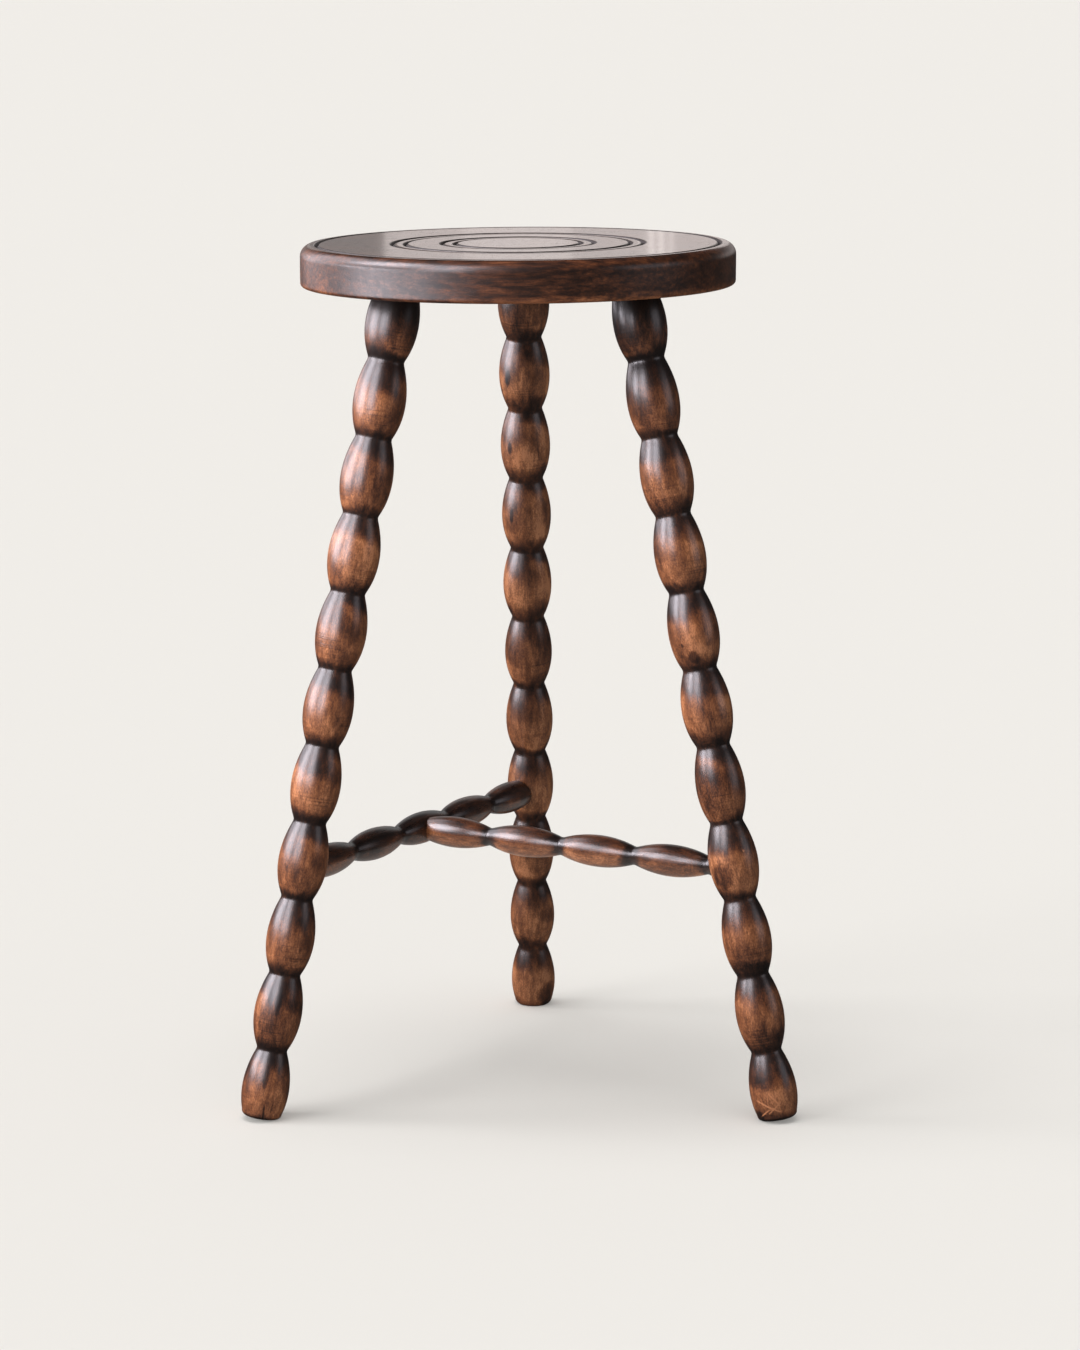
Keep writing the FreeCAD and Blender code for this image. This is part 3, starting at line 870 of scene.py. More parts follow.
@dataclass(frozen=True)
class StainPlan:
    """How the stain was left dark in the necks and rubbed back on the beads.

    Places within a bead, widths of fades and lengths of drifts are in shares of the bead's
    length, counted down from its upper neck. The depth also carries painted shade: the
    seat's shade over the first beads, and shade along a bar's upper side.
    """

    seed: int
    above: float = 0.17
    below: float = 0.46
    base: float = 0.18
    dark: float = 0.90
    # Painted shade along a bar's upper side, as extra depth
    upper: float = 0.0
    # Painted shade of the seat over the first beads, as an extra depth for each of them
    first_beads: tuple[float, ...] = (0.42,)
    fade_widths: Band = (0.8, 1.25)
    fade_swing: float = 0.42
    fade_drift: float = 0.6
    below_start: float = 0.03
    above_start: float = 0.01
    least_below: float = 0.05
    least_above: float = 0.04
    bead_swing: Band = (-0.05, 0.07)
    body_swing: float = 0.10
    body_drift: float = 2.0
    # How the painted shade under the seat fades down each first bead
    under_seat_fade: Band = (0.35, 0.95)
    under_seat_loss: float = 0.6
    # Cosines of the turn over which the painted shade on the upper side eases in
    upper_shade_band: Band = (-0.25, 0.65)
    tooled_start: Band = (0.52, 0.64)
    tooled_end: Band = (0.86, 0.97)
    tooled_patch: Band = (-0.5, 0.8)
    tooled_drift: float = 1.4

    def depth(self, place: Array, turn: Array, pitch: float, count: int) -> Array:
        """Depth of the stain, from 0 rubbed bare to 1 black-brown.

        Below a neck and above the next one the stain fades over a share of the bead, and the
        two fades differ from bead to bead and drift around the bar. The first beads, which sit
        under the seat, get a painted shade over their upper half, and the whole bar one over its
        upper side.

        Args:
            place: Places along the axis.
            turn: Turns around it.
            pitch: Length of a bead.
            count: Number of beads.

        Returns:
            Depth at each grid point.
        """
        rng = np.random.default_rng(self.seed)
        bead = np.clip((place / pitch).astype(int), 0, count - 1)
        share = place / pitch - bead
        swing = drift(place, turn, self.seed + SeedStep.FADES, self.fade_drift * pitch)
        waver = 1.0 + self.fade_swing * swing
        widths = rng.uniform(*self.fade_widths, (2, count))
        below = np.maximum(self.below * widths[0][bead] * waver, self.least_below)
        above = np.maximum(self.above * widths[1][bead] * waver, self.least_above)
        top = 1.0 - ease(WHOLE, (share - self.below_start) / below)
        bottom = 1.0 - ease(WHOLE, (1.0 - share - self.above_start) / above)
        body = self.base + rng.uniform(*self.bead_swing, count)[bead]
        swing = drift(place, turn, self.seed + SeedStep.BODY, self.body_drift * pitch)
        body = body + self.body_swing * swing
        depth = body + (self.dark - body) * np.maximum(top, bottom)
        # Painted shade of the seat over the first beads, strongest on their upper half
        for number, extra in enumerate(self.first_beads):
            shade = extra * (1.0 - self.under_seat_loss * ease(self.under_seat_fade, share))
            depth = depth + np.where(bead == number, shade, 0.0)
        # Painted shade along the bar's upper side
        return depth + self.upper * ease(self.upper_shade_band, np.cos(turn))

    def tooled(self, place: Array, turn: Array, pitch: float) -> Array:
        """Where the tool left fine rings: the lower third of a bead, in drifting patches.

        Args:
            place: Places along the axis.
            turn: Turns around it.
            pitch: Length of a bead.

        Returns:
            Strength of the rings at each grid point, from 0 to 1.
        """
        share = (place / pitch) % 1.0
        band = ease(self.tooled_start, share) * (1.0 - ease(self.tooled_end, share))
        patches = drift(place, turn, self.seed + SeedStep.TOOLED, self.tooled_drift * pitch)
        return band * ease(self.tooled_patch, patches)


# The extra depths for the top beads are painted shade of the seat above them
REAR_PLAN = StainPlan(11, above=0.24, below=0.50, base=0.06, dark=0.70, first_beads=(0.42,))
LEFT_PLAN = StainPlan(23, base=0.20, first_beads=(0.62,))
RIGHT_PLAN = StainPlan(37, above=0.22, first_beads=(0.60, 0.14))
# The long stretcher's deep base is painted shade, as it lies in shadow; each bar's upper depth is
# painted shade too
LONG_PLAN = StainPlan(53, above=0.14, below=0.14, base=0.56, upper=0.20, first_beads=())
SHORT_PLAN = StainPlan(59, above=0.14, below=0.14, base=0.20, upper=0.32, first_beads=())


def settle(piece: Piece, node: str) -> Piece:
    """Let a piece ride with the stool and stand for its construction node.

    Args:
        piece: Finished piece.
        node: Construction node that it replaces.

    Returns:
        The same piece.
    """
    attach(piece, "root")
    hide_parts(node)
    return piece


@dataclass
class Leg:
    """Turned leg with its necks left dark and its foot cut to the floor."""

    name: LegName
    stance: Stance
    plan: StainPlan
    marks: tuple[Mark, ...] = ()
    finish: WoodFinish = LEG_FINISH
    top_bead: float = 0.0404
    foot_bead: float = 0.0361
    top_neck: float = 0.0277
    foot_neck: float = 0.0222
    foot_round: float = 0.0042
    # Painted contact shade along the sole's rounded edge, where the end grain also takes the stain
    # darker
    sole_shade: float = 0.35
    sole_shade_rise: Band = (0.0030, 0.0005)
    waver: float = 0.00012
    waver_length: float = 0.09
    floor_gap: float = 0.0001
    rows_in_bead: int = 44
    edge_rows: int = 8
    sole_rows: int = 6
    sole_end: float = 0.1
    around: int = 128

    def profile(self) -> tuple[Array, Array]:
        """Radius and place of each row, from the seat down and in over the sole.

        The sole's edge is a quarter arc, and the sole runs in to a tenth of its radius.

        Returns:
            Radii and places along the axis.
        """
        stance = self.stance
        beads = stance.leg_beads
        step = np.arange(beads + 1) / beads
        necks = (self.top_neck + (self.foot_neck - self.top_neck) * step) / 2.0
        step = np.arange(beads) / (beads - 1)
        crowns = (self.top_bead + (self.foot_bead - self.top_bead) * step) / 2.0
        run = BeadRun(stance.leg_pitch, crowns, necks, self.plan.seed)
        edge = stance.sole - self.foot_round
        place = np.linspace(0.0, edge, beads * self.rows_in_bead)
        radius = run.radius(place)
        angle = np.linspace(0.0, QUARTER_TURN, self.edge_rows + 1)[1:]
        rounded = radius[-1] - self.foot_round * (1.0 - np.cos(angle))
        inner = np.linspace(1.0, self.sole_end, self.sole_rows + 1)[1:] * rounded[-1]
        sole = np.full(self.sole_rows, stance.sole)
        places = [place, edge + self.foot_round * np.sin(angle), sole]
        return np.concatenate([radius, rounded, inner]), np.concatenate(places)

    def skin(self) -> Skin:
        """Surface of the leg, cut level by the seat above and by the floor below.

        Rows near the seat are slid along the axis until they lie under it, and points that
        would pass the floor are slid back up to it.

        Returns:
            The surface with its wood places, stain with painted shade under the seat and at the sole,
            and tool marks.
        """
        radius, place = self.profile()
        turn = even_turns(len(radius), self.around)
        place = carried_around(place, self.around)
        swing = drift(place, turn, self.plan.seed + SeedStep.SHAPE, self.waver_length)
        radius = radius[:, None] + self.waver * swing
        axis = self.stance.leg_axis(self.name)
        points = axis.lay(radius, place, turn)
        over = np.maximum(points[..., 2] - (self.stance.underside - self.floor_gap), 0.0)
        under = np.maximum(self.floor_gap - points[..., 2], 0.0)
        slide = (over - under) / math.cos(self.stance.splay)
        points = points + slide[..., None] * axis.along
        pitch, beads = self.stance.leg_pitch, self.stance.leg_beads
        # Painted contact shade at the sole, added to the stain's depth
        foot = tuple(self.stance.sole - rise for rise in self.sole_shade_rise)
        grime = self.sole_shade * ease(foot, place)
        values = {
            "stain": self.plan.depth(place, turn, pitch, beads) + grime,
            "tooled": self.plan.tooled(place, turn, pitch),
            "polish": np.zeros_like(place),
        }
        return Skin(points, bar_wood(radius, place, turn, self.plan.seed), values)

    def build(self) -> Piece:
        """Make the leg, dress it and put it in place of its construction node.

        Returns:
            The finished leg.
        """
        piece = self.skin().to_object(f"turned_{self.name.node}")
        piece.data.materials.append(self.finish.material(self.marks, float(self.plan.seed)))
        return settle(piece, self.name.node)


@dataclass
class Stretcher:
    """Turned stretcher of slim beads between two points of the stance."""

    node: str
    axis: Axis
    pitch: float
    start: float
    finish_place: float
    plan: StainPlan
    finish: WoodFinish = STRETCHER_FINISH
    bead: float = 0.0246
    neck: float = 0.0133
    polish: float = 0.1
    tooled: float = 0.6
    waver: float = 0.00008
    waver_length: float = 0.07
    beads: int = 5
    rows: int = 240
    around: int = 80

    def skin(self) -> Skin:
        """Surface of the stretcher, from inside one neighbour to inside the other.

        Its radius is that of its beads plus a small drift.

        Returns:
            The surface with its wood places, stain with painted shade on its upper side, tool marks
            and polish.
        """
        run = BeadRun(
            self.pitch,
            np.full(self.beads, self.bead / 2.0),
            np.full(self.beads + 1, self.neck / 2.0),
            self.plan.seed,
            crown_drop=0.0,
        )
        place = np.linspace(self.start, self.finish_place, self.rows)
        radius = run.radius(place)[:, None]
        turn = even_turns(self.rows, self.around)
        place = carried_around(place, self.around)
        swing = drift(place, turn, self.plan.seed + SeedStep.SHAPE, self.waver_length)
        radius = radius + self.waver * swing
        values = {
            "stain": self.plan.depth(place, turn, self.pitch, self.beads),
            "tooled": self.tooled * self.plan.tooled(place, turn, self.pitch),
            "polish": np.full_like(place, self.polish),
        }
        points = self.axis.lay(radius, place, turn)
        return Skin(points, bar_wood(radius, place, turn, self.plan.seed), values)

    def build(self) -> Piece:
        """Make the stretcher, dress it and put it in place of its construction node.

        Returns:
            The finished stretcher.
        """
        piece = self.skin().to_object(f"turned_{self.node}")
        piece.data.materials.append(self.finish.material())
        return settle(piece, self.node)


@dataclass
class Seat:
    """Round slab with eased edges and turned rings in its top.

    The side tones are azimuths in degrees, each with the depth that the stain gains there. The
    heart is the place of the tree's heart, in Y and in height above the underside. The crest
    is the rounded upper edge.
    """

    centre: Array
    radius: float
    thickness: float
    finish: WoodFinish = SEAT_FINISH
    top_round: float = 0.0086
    lower_round: float = 0.0025
    rim_groove: float = 0.1526
    rings: tuple[float, ...] = (0.0902, 0.0527)
    ring_bead: float = 0.0100
    ring_bead_drop: float = 0.0003
    groove_width: float = 0.0044
    groove_depth: float = 0.0029
    skin_gap: float = 0.0001
    wear: float = 0.00012
    wear_length: float = 0.05
    wear_band: Band = (0.5, 1.0)
    heart: Pair = (-0.150, -0.045)
    body: float = 0.68
    body_swing: float = 0.06
    body_length: float = 0.1
    side_band: Band = (0.965, 1.0)
    side_tones: tuple[Pair, ...] = (
        (150.0, -0.08),
        (182.0, -0.08),
        (203.0, -0.08),
        (214.0, -0.04),
        (226.0, 0.12),
        (236.0, 0.18),
        (248.0, 0.04),
        (260.0, 0.0),
        (284.0, -0.02),
        (296.0, -0.08),
        (330.0, -0.10),
        (20.0, -0.05),
        (90.0, -0.05),
    )
    rub_mean: float = 0.75
    rub_swing: float = 0.3
    rub_length: float = 0.2
    rub_band: Band = (0.9, 0.99)
    lower_rub: float = 0.42
    lower_rub_rise: float = 0.0075
    crest_rub: float = 0.15
    crest_drop: Band = (0.009, 0.003)
    crest_inset: Band = (0.009, 0.004)
    grime_width: float = 0.0048
    grime_band: Band = (0.3, 0.6)
    grime_depth: float = 0.5
    polish_drop: Band = (0.001, 0.0004)
    fine_step: float = 0.00035
    coarse_step: float = 0.0045
    under_start: float = 0.004
    under_step: float = 0.006
    lower_rows: int = 9
    side_rows: int = 14
    upper_rows: int = 25
    around: int = 384
    digits: int = 6
    seed: int = 71

    def sink(self, radius: Array) -> Array:
        """Depth of the top's grooves at a distance from the axis.

        The rim groove is a V. A ring is two straight flanks with a low bead between them, whose
        depth is d - (d - c) (1 - u^4) for a groove depth d, a crest c and a share u across.

        Args:
            radius: Distances from the seat's axis.

        Returns:
            Depth below the top face.
        """
        half = self.groove_width / 2.0
        depth = self.groove_depth * np.clip(1.0 - np.abs(radius - self.rim_groove) / half, 0.0, 1.0)
        for ring in self.rings:
            share = (radius - ring) / (self.ring_bead / 2.0)
            crest = self.groove_depth - self.ring_bead_drop
            bead = self.groove_depth - crest * (1.0 - share**4)
            beyond = np.abs(radius - ring) - self.ring_bead / 2.0
            flank = self.groove_depth * np.clip(1.0 - beyond / half, 0.0, 1.0)
            depth = np.maximum(depth, np.where(beyond < 0.0, bead, flank))
        return depth

    def top_stations(self) -> Array:
        """Distances from the axis of the top's rows, close together across each groove.

        Returns:
            The distances, from the edge inwards.
        """
        edge = self.radius - self.top_round
        stations = [np.arange(self.coarse_step, edge, self.coarse_step)]
        for ring in self.rings:
            reach = self.ring_bead / 2.0 + self.groove_width
            stations.append(np.arange(ring - reach, ring + reach, self.fine_step))
        reach = self.groove_width
        stations.append(np.arange(self.rim_groove - reach, edge, self.fine_step))
        found = np.unique(np.round(np.concatenate(stations), self.digits))
        return found[found < edge][::-1]

    def profile(self) -> tuple[Array, Array]:
        """Radius and height of each row, from the underside's middle out and over the top.

        Each rounded edge is a quarter arc.

        Returns:
            Radii and heights above the underside.
        """
        low, high = self.lower_round, self.top_round
        under = np.arange(self.under_start, self.radius - low, self.under_step)
        angle = np.linspace(0.0, QUARTER_TURN, self.lower_rows)
        lower = self.radius - low + low * np.sin(angle)
        lower_height = low - low * np.cos(angle)
        side_height = np.linspace(low, self.thickness - high, self.side_rows + 2)[1:-1]
        angle = np.linspace(0.0, QUARTER_TURN, self.upper_rows)
        upper = self.radius - high + high * np.cos(angle)
        upper_height = self.thickness - high + high * np.sin(angle)
        top = self.top_stations()
        radius = [under, lower, np.full(len(side_height), self.radius), upper, top]
        height = [np.zeros(len(under)), lower_height, side_height, upper_height]
        height.append(self.thickness - self.sink(top))
        return np.concatenate(radius), np.concatenate(height)

    def skin(self) -> Skin:
        """Surface of the seat, with the wood's grain running across the stool along X.

        It stays inside the construction solid by a small gap, and its side and edges are worn
        a little further in by a drifting amount.

        Returns:
            The surface with its wood places, stain and polish.
        """
        radius, height = self.profile()
        turn = even_turns(len(radius), self.around)
        height = carried_around(height, self.around)
        flat = carried_around(radius, self.around)
        swing = drift(height, turn, self.seed, self.wear_length)
        worn = -self.skin_gap - self.wear * np.clip(1.0 + swing, 0.0, None)
        worn = worn * ease(self.wear_band, flat / self.radius)
        level = np.clip(height, 0.0, self.thickness - self.skin_gap)
        axis = Axis(self.centre, UP, np.array([1.0, 0.0, 0.0]))
        points = axis.lay(flat + worn, level, turn)
        heart_y, heart_height = self.heart
        wood = [points[..., 1] - heart_y, height - heart_height, points[..., 0]]
        polished = tuple(self.thickness - drop for drop in self.polish_drop)
        values = {
            "stain": self.stain(flat, height, turn),
            "tooled": np.zeros_like(flat),
            "polish": ease(polished, height) - self.grime(flat, height),
        }
        return Skin(points, np.stack(wood, axis=-1), values)

    def grime(self, radius: Array, height: Array) -> Array:
        """How full of old wax and dirt the grooves are, from 0 on the open faces to 1.

        It eases off with the distance from the nearest groove, over the grime's width.

        Args:
            radius: Distance from the seat's axis.
            height: Height above the underside.

        Returns:
            Grime at each grid point.
        """
        half = self.ring_bead / 2.0
        lines = [self.rim_groove, *(ring + side for ring in self.rings for side in (-half, half))]
        nearest = np.min([np.abs(radius - line) for line in lines], axis=0)
        full = 1.0 - ease(self.grime_band, nearest / self.grime_width)
        return full * (height > self.thickness / 2.0)

    def stain(self, radius: Array, height: Array, turn: Array) -> Array:
        """Depth of the stain: darkest in the grooves, rubbed through along the two edges.

        It is the body's drifting depth, plus the side's own tone, less the rubbing of the lower
        edge and the crest, plus the grime. The side's tone is read from its run of azimuths.

        Args:
            radius: Distance from the seat's axis.
            height: Height above the underside.
            turn: Turn around the seat.

        Returns:
            Depth at each grid point.
        """
        crest_height = tuple(self.thickness - drop for drop in self.crest_drop)
        crest_radius = tuple(self.radius - inset for inset in self.crest_inset)
        crest = ease(crest_height, height) * ease(crest_radius, radius)
        lower = 1.0 - ease((0.0, self.lower_rub_rise), height)
        swing = drift(height, turn, self.seed + SeedStep.FADES, self.rub_length)
        waver = self.rub_mean + self.rub_swing * swing
        outer = ease(self.rub_band, radius / self.radius)
        rub = outer * waver * (self.lower_rub * lower + self.crest_rub * crest)
        azimuths, extras = zip(*self.side_tones)
        tone = np.interp(np.degrees(turn), azimuths, extras, period=360.0)
        side = tone * ease(self.side_band, radius / self.radius)
        swing = drift(height, turn, self.seed + SeedStep.BODY, self.body_length)
        body = self.body + self.body_swing * swing
        return body + side - rub + self.grime_depth * self.grime(radius, height)

    def build(self) -> Piece:
        """Make the seat, dress it and put it in place of its construction node.

        Returns:
            The finished seat.
        """
        piece = self.skin().to_object("turned_seat")
        piece.data.materials.append(self.finish.material())
        return settle(piece, "seat")


@dataclass
class Stool:
    """The whole stool: seat, legs, stretchers and the pieces hidden in their joints.

    The bar start is how far from its neighbour's axis a dressed stretcher begins, which is
    still inside that neighbour.
    """

    stance: Stance
    bar_start: float = 0.012
    pieces: dict[LitPart, list[Piece]] = field(default_factory=dict)

    def seat(self) -> Piece:
        """Turned seat, as wide and thick as its construction node.

        Returns:
            The finished seat.
        """
        low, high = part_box("seat")
        radius = (high.x - low.x) / 2.0
        centre = np.array([0.0, self.stance.seat_axis_y, low.z])
        return Seat(centre, radius, high.z - low.z).build()

    def legs(self) -> list[Leg]:
        """The three legs, not yet built.

        Returns:
            The legs in the order in which they are built.
        """
        looks = (
            (LegName.REAR, REAR_PLAN, REAR_MARKS),
            (LegName.LEFT, LEFT_PLAN, LEFT_MARKS),
            (LegName.RIGHT, RIGHT_PLAN, RIGHT_MARKS),
        )
        return [Leg(name, self.stance, plan, marks) for name, plan, marks in looks]

    def stretchers(self) -> list[Piece]:
        """The long stretcher from leg to leg, and the short one from its middle.

        Returns:
            The two finished stretchers.
        """
        stance, start = self.stance, self.bar_start
        left, rear = stance.joint(LegName.LEFT), stance.joint(LegName.REAR)
        middle, right = (left + rear) / 2.0, stance.joint(LegName.RIGHT)
        span = float(np.linalg.norm(rear - left))
        short = float(np.linalg.norm(right - middle))
        pitch = span / stance.stretcher_beads
        long_axis, short_axis = Axis.between(left, rear), Axis.between(middle, right)
        bars = (
            Stretcher("long_stretcher", long_axis, pitch, start, span - start, LONG_PLAN),
            Stretcher("short_stretcher", short_axis, pitch, start / 2.0, short - start, SHORT_PLAN),
        )
        return [bar.build() for bar in bars]

    def hidden_pieces(self) -> list[Piece]:
        """Wedges and pins of the joints, which keep their construction shapes.

        Returns:
            The pieces, in their finishes.
        """
        wedge_wood, steel = PlainWoodFinish().material(), SteelFinish().material()
        found = []
        for name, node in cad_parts.items():
            if not name.endswith(("_wedge", "_pin")):
                continue
            material = wedge_wood if name.endswith("_wedge") else steel
            for slot in node.material_slots:
                slot.material = material
            found.append(node)
        return found

    def build(self) -> dict[LitPart, list[Piece]]:
        """Build every piece in order and report it, the hidden ones with the rear leg.

        Returns:
            The pieces that each light falls on, by part.
        """
        self.pieces[LitPart.SEAT] = [self.seat()]
        for leg in self.legs():
            self.pieces[leg.name.lit_part] = [leg.build()]
        self.pieces[LitPart.STRETCHERS] = self.stretchers()
        self.pieces[LitPart.REAR_LEG] += self.hidden_pieces()
        for piece in sum(self.pieces.values(), []):
            logger.info("%s: %d faces", piece.name, len(piece.data.polygons))
        return self.pieces


@dataclass(frozen=True)
class CameraStand:
    """Camera in front of the stool, a little above its seat, with its angles in radians."""

    place: Triple = (0.1167, -3.1912, 0.9083)
    heading: float = -0.0324
    dip: float = 0.1841
    roll: float = -0.0067
    lens: float = 111.05
    sensor: float = 36.0
    sight: float = 300.0

    def build(self) -> Piece:
        """Make the camera.

        It looks along its heading, counted from +Y towards +X, and down by its dip, and is
        turned about that line by its roll.

        Returns:
            The camera.
        """
        ahead_x, ahead_y = math.sin(self.heading), math.cos(self.heading)
        level = math.cos(self.dip)
        ahead = Vector((ahead_x * level, ahead_y * level, -math.sin(self.dip)))
        right = Vector((ahead_y, -ahead_x, 0.0))
        above = right.cross(ahead)
        turned_right = right * math.cos(self.roll) + above * math.sin(self.roll)
        turned_up = above * math.cos(self.roll) - right * math.sin(self.roll)
        data = bpy.data.cameras.new("camera")
        data.sensor_fit = "VERTICAL"
        data.sensor_height = self.sensor
        data.lens = self.lens
        data.clip_end = self.sight
        camera = bpy.data.objects.new("camera", data)
        columns = Matrix((turned_right, turned_up, -ahead)).transposed()
        camera.matrix_world = Matrix.Translation(Vector(self.place)) @ columns.to_4x4()
        bpy.context.scene.collection.objects.link(camera)
        bpy.context.scene.camera = camera
        return camera


PLAIN_TINT = (1.0, 1.0, 1.0)
WINDOW_TINT = (1.0, 0.94, 1.02)
BACK_TINT = (1.0, 0.90, 0.87)
FLOOR_TINT = (1.0, 0.96, 0.92)
CAMERA_BEARING = 2.12
PANEL_POWER = 4.0


def away_from_stool(bearing: float, height: float = 0.0) -> Vector:
    """Direction away from the stool, level by its bearing and raised by its height.

    Args:
        bearing: Degrees to the left of the camera, seen from the stool.
        height: Degrees above the floor.

    Returns:
        The direction, one long.
    """
    angle = math.radians(CAMERA_BEARING - bearing)
    rise = math.radians(height)
    level = math.cos(rise)
    return Vector((math.sin(angle) * level, -math.cos(angle) * level, math.sin(rise)))


def hang(name: str, data: bpy.types.Light, away: Vector, lit: list[Piece]) -> Piece:
    """Put a light in the scene, turned to shine against a direction, on some objects alone.

    Args:
        name: Name of the light.
        data: The light's own data.
        away: Direction that its back is turned to.
        lit: Objects that it lights.

    Returns:
        The light, at the origin.
    """
    light = bpy.data.objects.new(name, data)
    light.rotation_euler = away.to_track_quat("Z", "Y").to_euler()
    light.visible_camera = False
    group = bpy.data.collections.new(f"lit_by_{name}")
    for piece in lit:
        group.objects.link(piece)
    light.light_linking.receiver_collection = group
    bpy.context.scene.collection.objects.link(light)
    return light


@dataclass(frozen=True)
class Panel:
    """Rectangular studio light with a plain bright face, which is turned against a direction."""

    name: str
    parts: tuple[LitPart, ...]
    middle: Triple
    away: Triple
    width: float
    height: float
    radiance: float
    tint: Tone = PLAIN_TINT

    def build(self, lit: list[Piece]) -> Piece:
        """Make the light, whose power is four times its face's brightness times its area.

        Args:
            lit: Objects that it lights.

        Returns:
            The light.
        """
        data = bpy.data.lights.new(self.name, "AREA")
        data.shape = "RECTANGLE"
        data.size = self.width
        data.size_y = self.height
        data.energy = PANEL_POWER * self.radiance * self.width * self.height
        data.color = self.tint
        light = hang(self.name, data, Vector(self.away), lit)
        light.location = self.middle
        return light


@dataclass(frozen=True)
class Pane:
    """One pane of a window: its name, the heights of its two edges and its brightness."""

    name: str
    low: float
    high: float
    radiance: float


@dataclass(frozen=True)
class Window:
    """Upright panes, one above another, that face the stool and light some of its parts alone.

    The bearing is in degrees to the left of the camera, seen from the stool, and the half
    angle is half of what the window's width takes up.
    """

    name: str
    parts: tuple[LitPart, ...]
    bearing: float
    half_angle: float
    panes: tuple[Pane, ...]
    distance: float = 1.8

    def panels(self) -> list[Panel]:
        """The panes, each as wide as twice the distance times the half angle's tangent.

        Returns:
            A panel for each pane, from the lowest up.
        """
        out = away_from_stool(self.bearing)
        width = 2.0 * self.distance * math.tan(math.radians(self.half_angle))
        found = []
        for pane in self.panes:
            name = f"{self.name}_{pane.name}"
            middle = out * self.distance + Vector((0.0, 0.0, (pane.low + pane.high) / 2.0))
            place = (tuple(middle), tuple(out))
            size = (width, pane.high - pane.low)
            found.append(Panel(name, self.parts, *place, *size, pane.radiance, WINDOW_TINT))
        return found


@dataclass(frozen=True)
class BackWall:
    """Row of bright panes behind the stool, which the polished top of the seat mirrors.

    A pane is given by its left and its right edge and its brightness.
    """

    panes: tuple[Triple, ...]
    away: Triple = (0.0, 1.0, 0.0)
    distance: float = 2.5
    middle_height: float = 1.025
    height: float = 0.65

    def panels(self) -> list[Panel]:
        """The panes side by side, as panels that face the stool from behind.

        Returns:
            A panel for each pane, from left to right.
        """
        found = []
        for number, (left, right, radiance) in enumerate(self.panes):
            name = f"back_panel_{number}"
            middle = ((left + right) / 2.0, self.distance, self.middle_height)
            place = (middle, self.away)
            size = (right - left, self.height)
            found.append(Panel(name, (LitPart.SEAT,), *place, *size, radiance, BACK_TINT))
        return found


@dataclass(frozen=True)
class FloorLamp:
    """Distant light that falls on the floor alone and gives it its tone and shadows.

    The bearing and the height above the horizon are in degrees, and so is the spread, which
    softens its shadow.
    """

    name: str
    bearing: float
    height: float
    spread: float
    strength: float
    shadows: bool = True

    def build(self, lit: list[Piece]) -> Piece:
        """Make the light.

        Args:
            lit: Objects that it lights.

        Returns:
            The light.
        """
        data = bpy.data.lights.new(self.name, "SUN")
        data.energy = self.strength
        data.use_shadow = self.shadows
        data.angle = math.radians(self.spread)
        return hang(self.name, data, away_from_stool(self.bearing, self.height), lit)


PANE_SPLIT = 1.20
WINDOW_TOP = 3.20


def two_panes(low: float, lower: float, upper: float, split: float = PANE_SPLIT) -> tuple[Pane, ...]:
    """Panes of a window that is cut in two.

    Args:
        low: Height of the window's lower edge.
        lower: Brightness of the lower pane.
        upper: Brightness of the upper pane.
        split: Height where the panes meet.

    Returns:
        The lower and the upper pane.
    """
    return Pane("low_pane", low, split, lower), Pane("high_pane", split, WINDOW_TOP, upper)


KEY_BEARING = 82.0
KEY_HALF_ANGLE = 19.0
BAR_SPAN = (0.62, 1.75)
SEAT_KEY_PANES = (
    Pane("low_pane", 0.60, 0.80, 14.0),
    Pane("middle_pane", 0.80, 1.45, 1.7),
    Pane("high_pane", 1.45, WINDOW_TOP, 14.0),
)
LEFT_LEG = (LitPart.LEFT_LEG,)
RIGHT_LEG = (LitPart.RIGHT_LEG,)
REAR_LEG = (LitPart.REAR_LEG,)
BARS = (LitPart.STRETCHERS,)
SEAT = (LitPart.SEAT,)
WHOLE_STOOL = SEAT + LEFT_LEG + RIGHT_LEG + REAR_LEG + BARS

# Each window: its name, what it lights, its bearing and half angle in degrees, and its panes
WINDOWS = (
    Window("left_key", LEFT_LEG, KEY_BEARING, KEY_HALF_ANGLE, two_panes(0.46, 9.0, 8.5)),
    Window("left_inner", LEFT_LEG, 37.0, 16.0, two_panes(0.46, 7.0, 7.0)),
    Window("right_key", RIGHT_LEG, KEY_BEARING, KEY_HALF_ANGLE, two_panes(0.54, 11.0, 12.0)),
    Window("right_inner", RIGHT_LEG, 38.0, 14.0, two_panes(0.64, 6.5, 8.5)),
    Window("rear_key", REAR_LEG, 84.0, 20.0, two_panes(0.30, 9.3, 2.4, split=1.05)),
    Window("rear_inner", REAR_LEG, 42.0, 14.0, (Pane("pane", 0.20, 1.60, 2.8),)),
    Window("bar_key", BARS, KEY_BEARING, KEY_HALF_ANGLE, (Pane("pane", *BAR_SPAN, 13.0),)),
    Window("bar_inner", BARS, 38.0, 14.0, (Pane("pane", *BAR_SPAN, 8.0),)),
    Window("seat_key", SEAT, KEY_BEARING, KEY_HALF_ANGLE, SEAT_KEY_PANES),
    Window("seat_inner", SEAT, 40.0, 13.0, two_panes(0.60, 6.0, 8.5)),
    Window("back_left", WHOLE_STOOL, 124.0, 20.0, (Pane("pane", 0.50, 2.60, 2.4),)),
    Window("side", WHOLE_STOOL, -73.0, 17.0, (Pane("strip", 0.66, 3.95, 0.9),), distance=6.0),
    Window("seat", SEAT, 66.0, 22.0, (Pane("pane", 0.36, 0.60, 9.2),)),
)
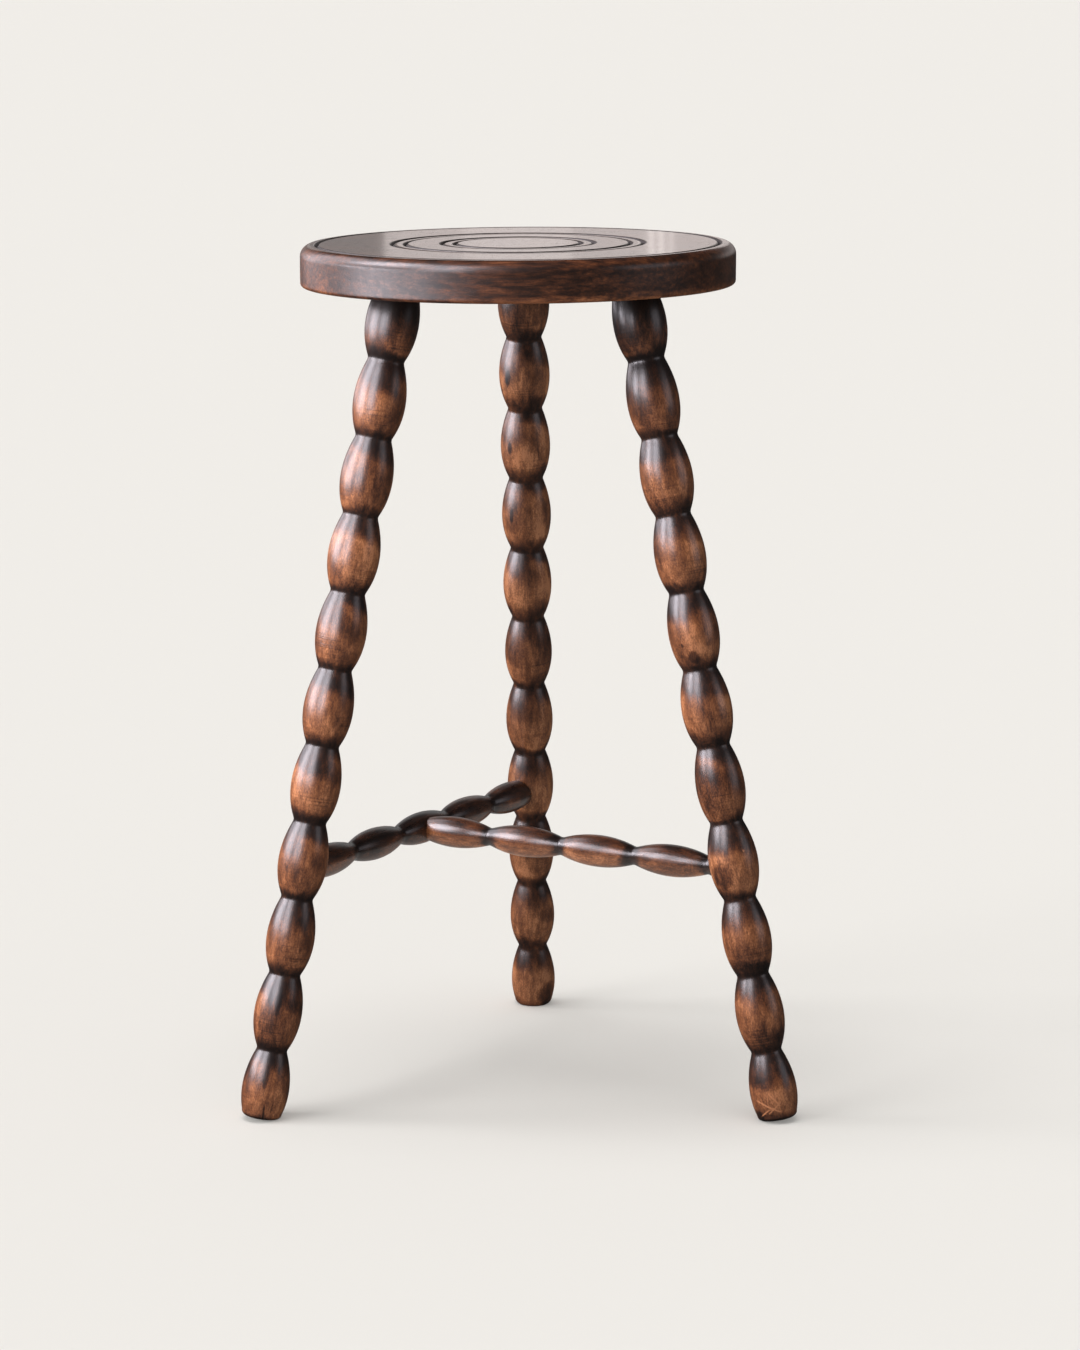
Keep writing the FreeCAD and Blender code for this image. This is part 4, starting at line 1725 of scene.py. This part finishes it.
BACK_WALL = BackWall(
    (
        (-2.40, -0.80, 0.22),
        (-0.80, -0.40, 0.36),
        (-0.40, -0.277, 0.25),
        (-0.277, -0.170, 0.62),
        (-0.170, -0.020, 0.73),
        (-0.020, 0.084, 0.61),
        (0.084, 0.092, 1.05),
        (0.092, 0.098, 0.60),
        (0.098, 0.105, 1.10),
        (0.105, 0.112, 0.62),
        (0.112, 0.118, 0.95),
        (0.118, 2.40, 0.62),
    )
)
GLOWS = (
    Panel(
        "wall_glow",
        BARS,
        middle=(0.0, 2.5, 1.1),
        away=(0.0, 1.0, 0.0),
        width=3.2,
        height=1.2,
        radiance=0.45,
    ),
    Panel(
        "floor_glow",
        BARS,
        middle=(0.0, -0.05, 0.004),
        away=(0.0, 0.0, -1.0),
        width=1.1,
        height=1.1,
        radiance=0.35,
        tint=FLOOR_TINT,
    ),
)
LAMPS = (
    FloorLamp("even_lamp", bearing=0.0, height=90.0, spread=10.0, strength=0.86, shadows=False),
    FloorLamp("fill_lamp", bearing=0.0, height=90.0, spread=150.0, strength=0.84),
    FloorLamp("overhead_lamp", bearing=15.0, height=86.0, spread=25.0, strength=0.55),
    FloorLamp("high_left_lamp", bearing=90.0, height=75.0, spread=20.0, strength=0.38),
    FloorLamp("front_left_lamp", bearing=60.0, height=25.0, spread=30.0, strength=0.64),
    FloorLamp("left_lamp", bearing=90.0, height=25.0, spread=30.0, strength=0.24),
    FloorLamp("low_left_lamp", bearing=95.0, height=12.0, spread=20.0, strength=0.95),
)


@dataclass
class Studio:
    """Plain pale floor and plain soft light."""

    backdrop: Tone = (0.856, 0.831, 0.791)
    surround: Tone = (0.08, 0.078, 0.076)
    mirrored: Tone = (0.04, 0.038, 0.038)
    floor_tone: Tone = (0.80, 0.777, 0.740)
    floor_half: float = 120.0
    floor_drop: float = 0.00005
    windows: tuple[Window, ...] = WINDOWS
    back_wall: BackWall = BACK_WALL
    glows: tuple[Panel, ...] = GLOWS
    lamps: tuple[FloorLamp, ...] = LAMPS

    def floor(self) -> Piece:
        """Level floor that runs past the horizon, in plain matt white.

        Returns:
            The floor.
        """
        half, level = self.floor_half, -self.floor_drop
        corners = [(x * half, y * half, level) for x, y in ((-1, -1), (1, -1), (1, 1), (-1, 1))]
        mesh = bpy.data.meshes.new("floor")
        mesh.from_pydata(corners, [], [(0, 1, 2, 3)])
        floor = bpy.data.objects.new("floor", mesh)
        bpy.context.scene.collection.objects.link(floor)
        bench, material = Bench.with_material("matt_white")
        bench.finish("ShaderNodeBsdfDiffuse", {"Color": (*self.floor_tone, 1.0)})
        mesh.materials.append(material)
        floor.visible_glossy = False
        return floor

    def sky(self) -> None:
        """Backdrop tone for the camera, and a dim surround for all other light."""
        world = bpy.data.worlds.new("studio_air")
        bpy.context.scene.world = world
        world.use_nodes = True
        bench = Bench(world.node_tree)
        path = bench.add("ShaderNodeLightPath")
        tone = bench.tinted(path.outputs["Is Glossy Ray"], self.surround, self.mirrored)
        tone = bench.tinted(path.outputs["Is Camera Ray"], tone, self.backdrop)
        air = bench.add("ShaderNodeBackground", {"Color": tone, "Strength": 1.0})
        bench.add("ShaderNodeOutputWorld", {"Surface": air.outputs[0]})

    def panels(self) -> list[Panel]:
        """All the panels, the windows' first."""
        panes = [panel for window in self.windows for panel in window.panels()]
        return [*panes, *self.back_wall.panels(), *self.glows]

    def build(self, pieces: dict[LitPart, list[Piece]]) -> None:
        """Make the floor, the sky and the lights.

        Args:
            pieces: Pieces of the stool that belong to each lit part.
        """
        lit = {**pieces, LitPart.FLOOR: [self.floor()]}
        self.sky()
        for panel in self.panels():
            panel.build([piece for part in panel.parts for piece in lit[part]])
        for lamp in self.lamps:
            lamp.build(lit[LitPart.FLOOR])
        bpy.context.scene.view_settings.view_transform = "Standard"


def main() -> None:
    """Build the stool, the studio and the camera."""
    logging.basicConfig(level=logging.INFO, format="%(name)s: %(message)s")
    low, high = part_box("seat")
    stool = Stool(Stance((low.y + high.y) / 2.0, low.z))
    Studio().build(stool.build())
    CameraStand().build()


if __name__ == "__main__":
    main()
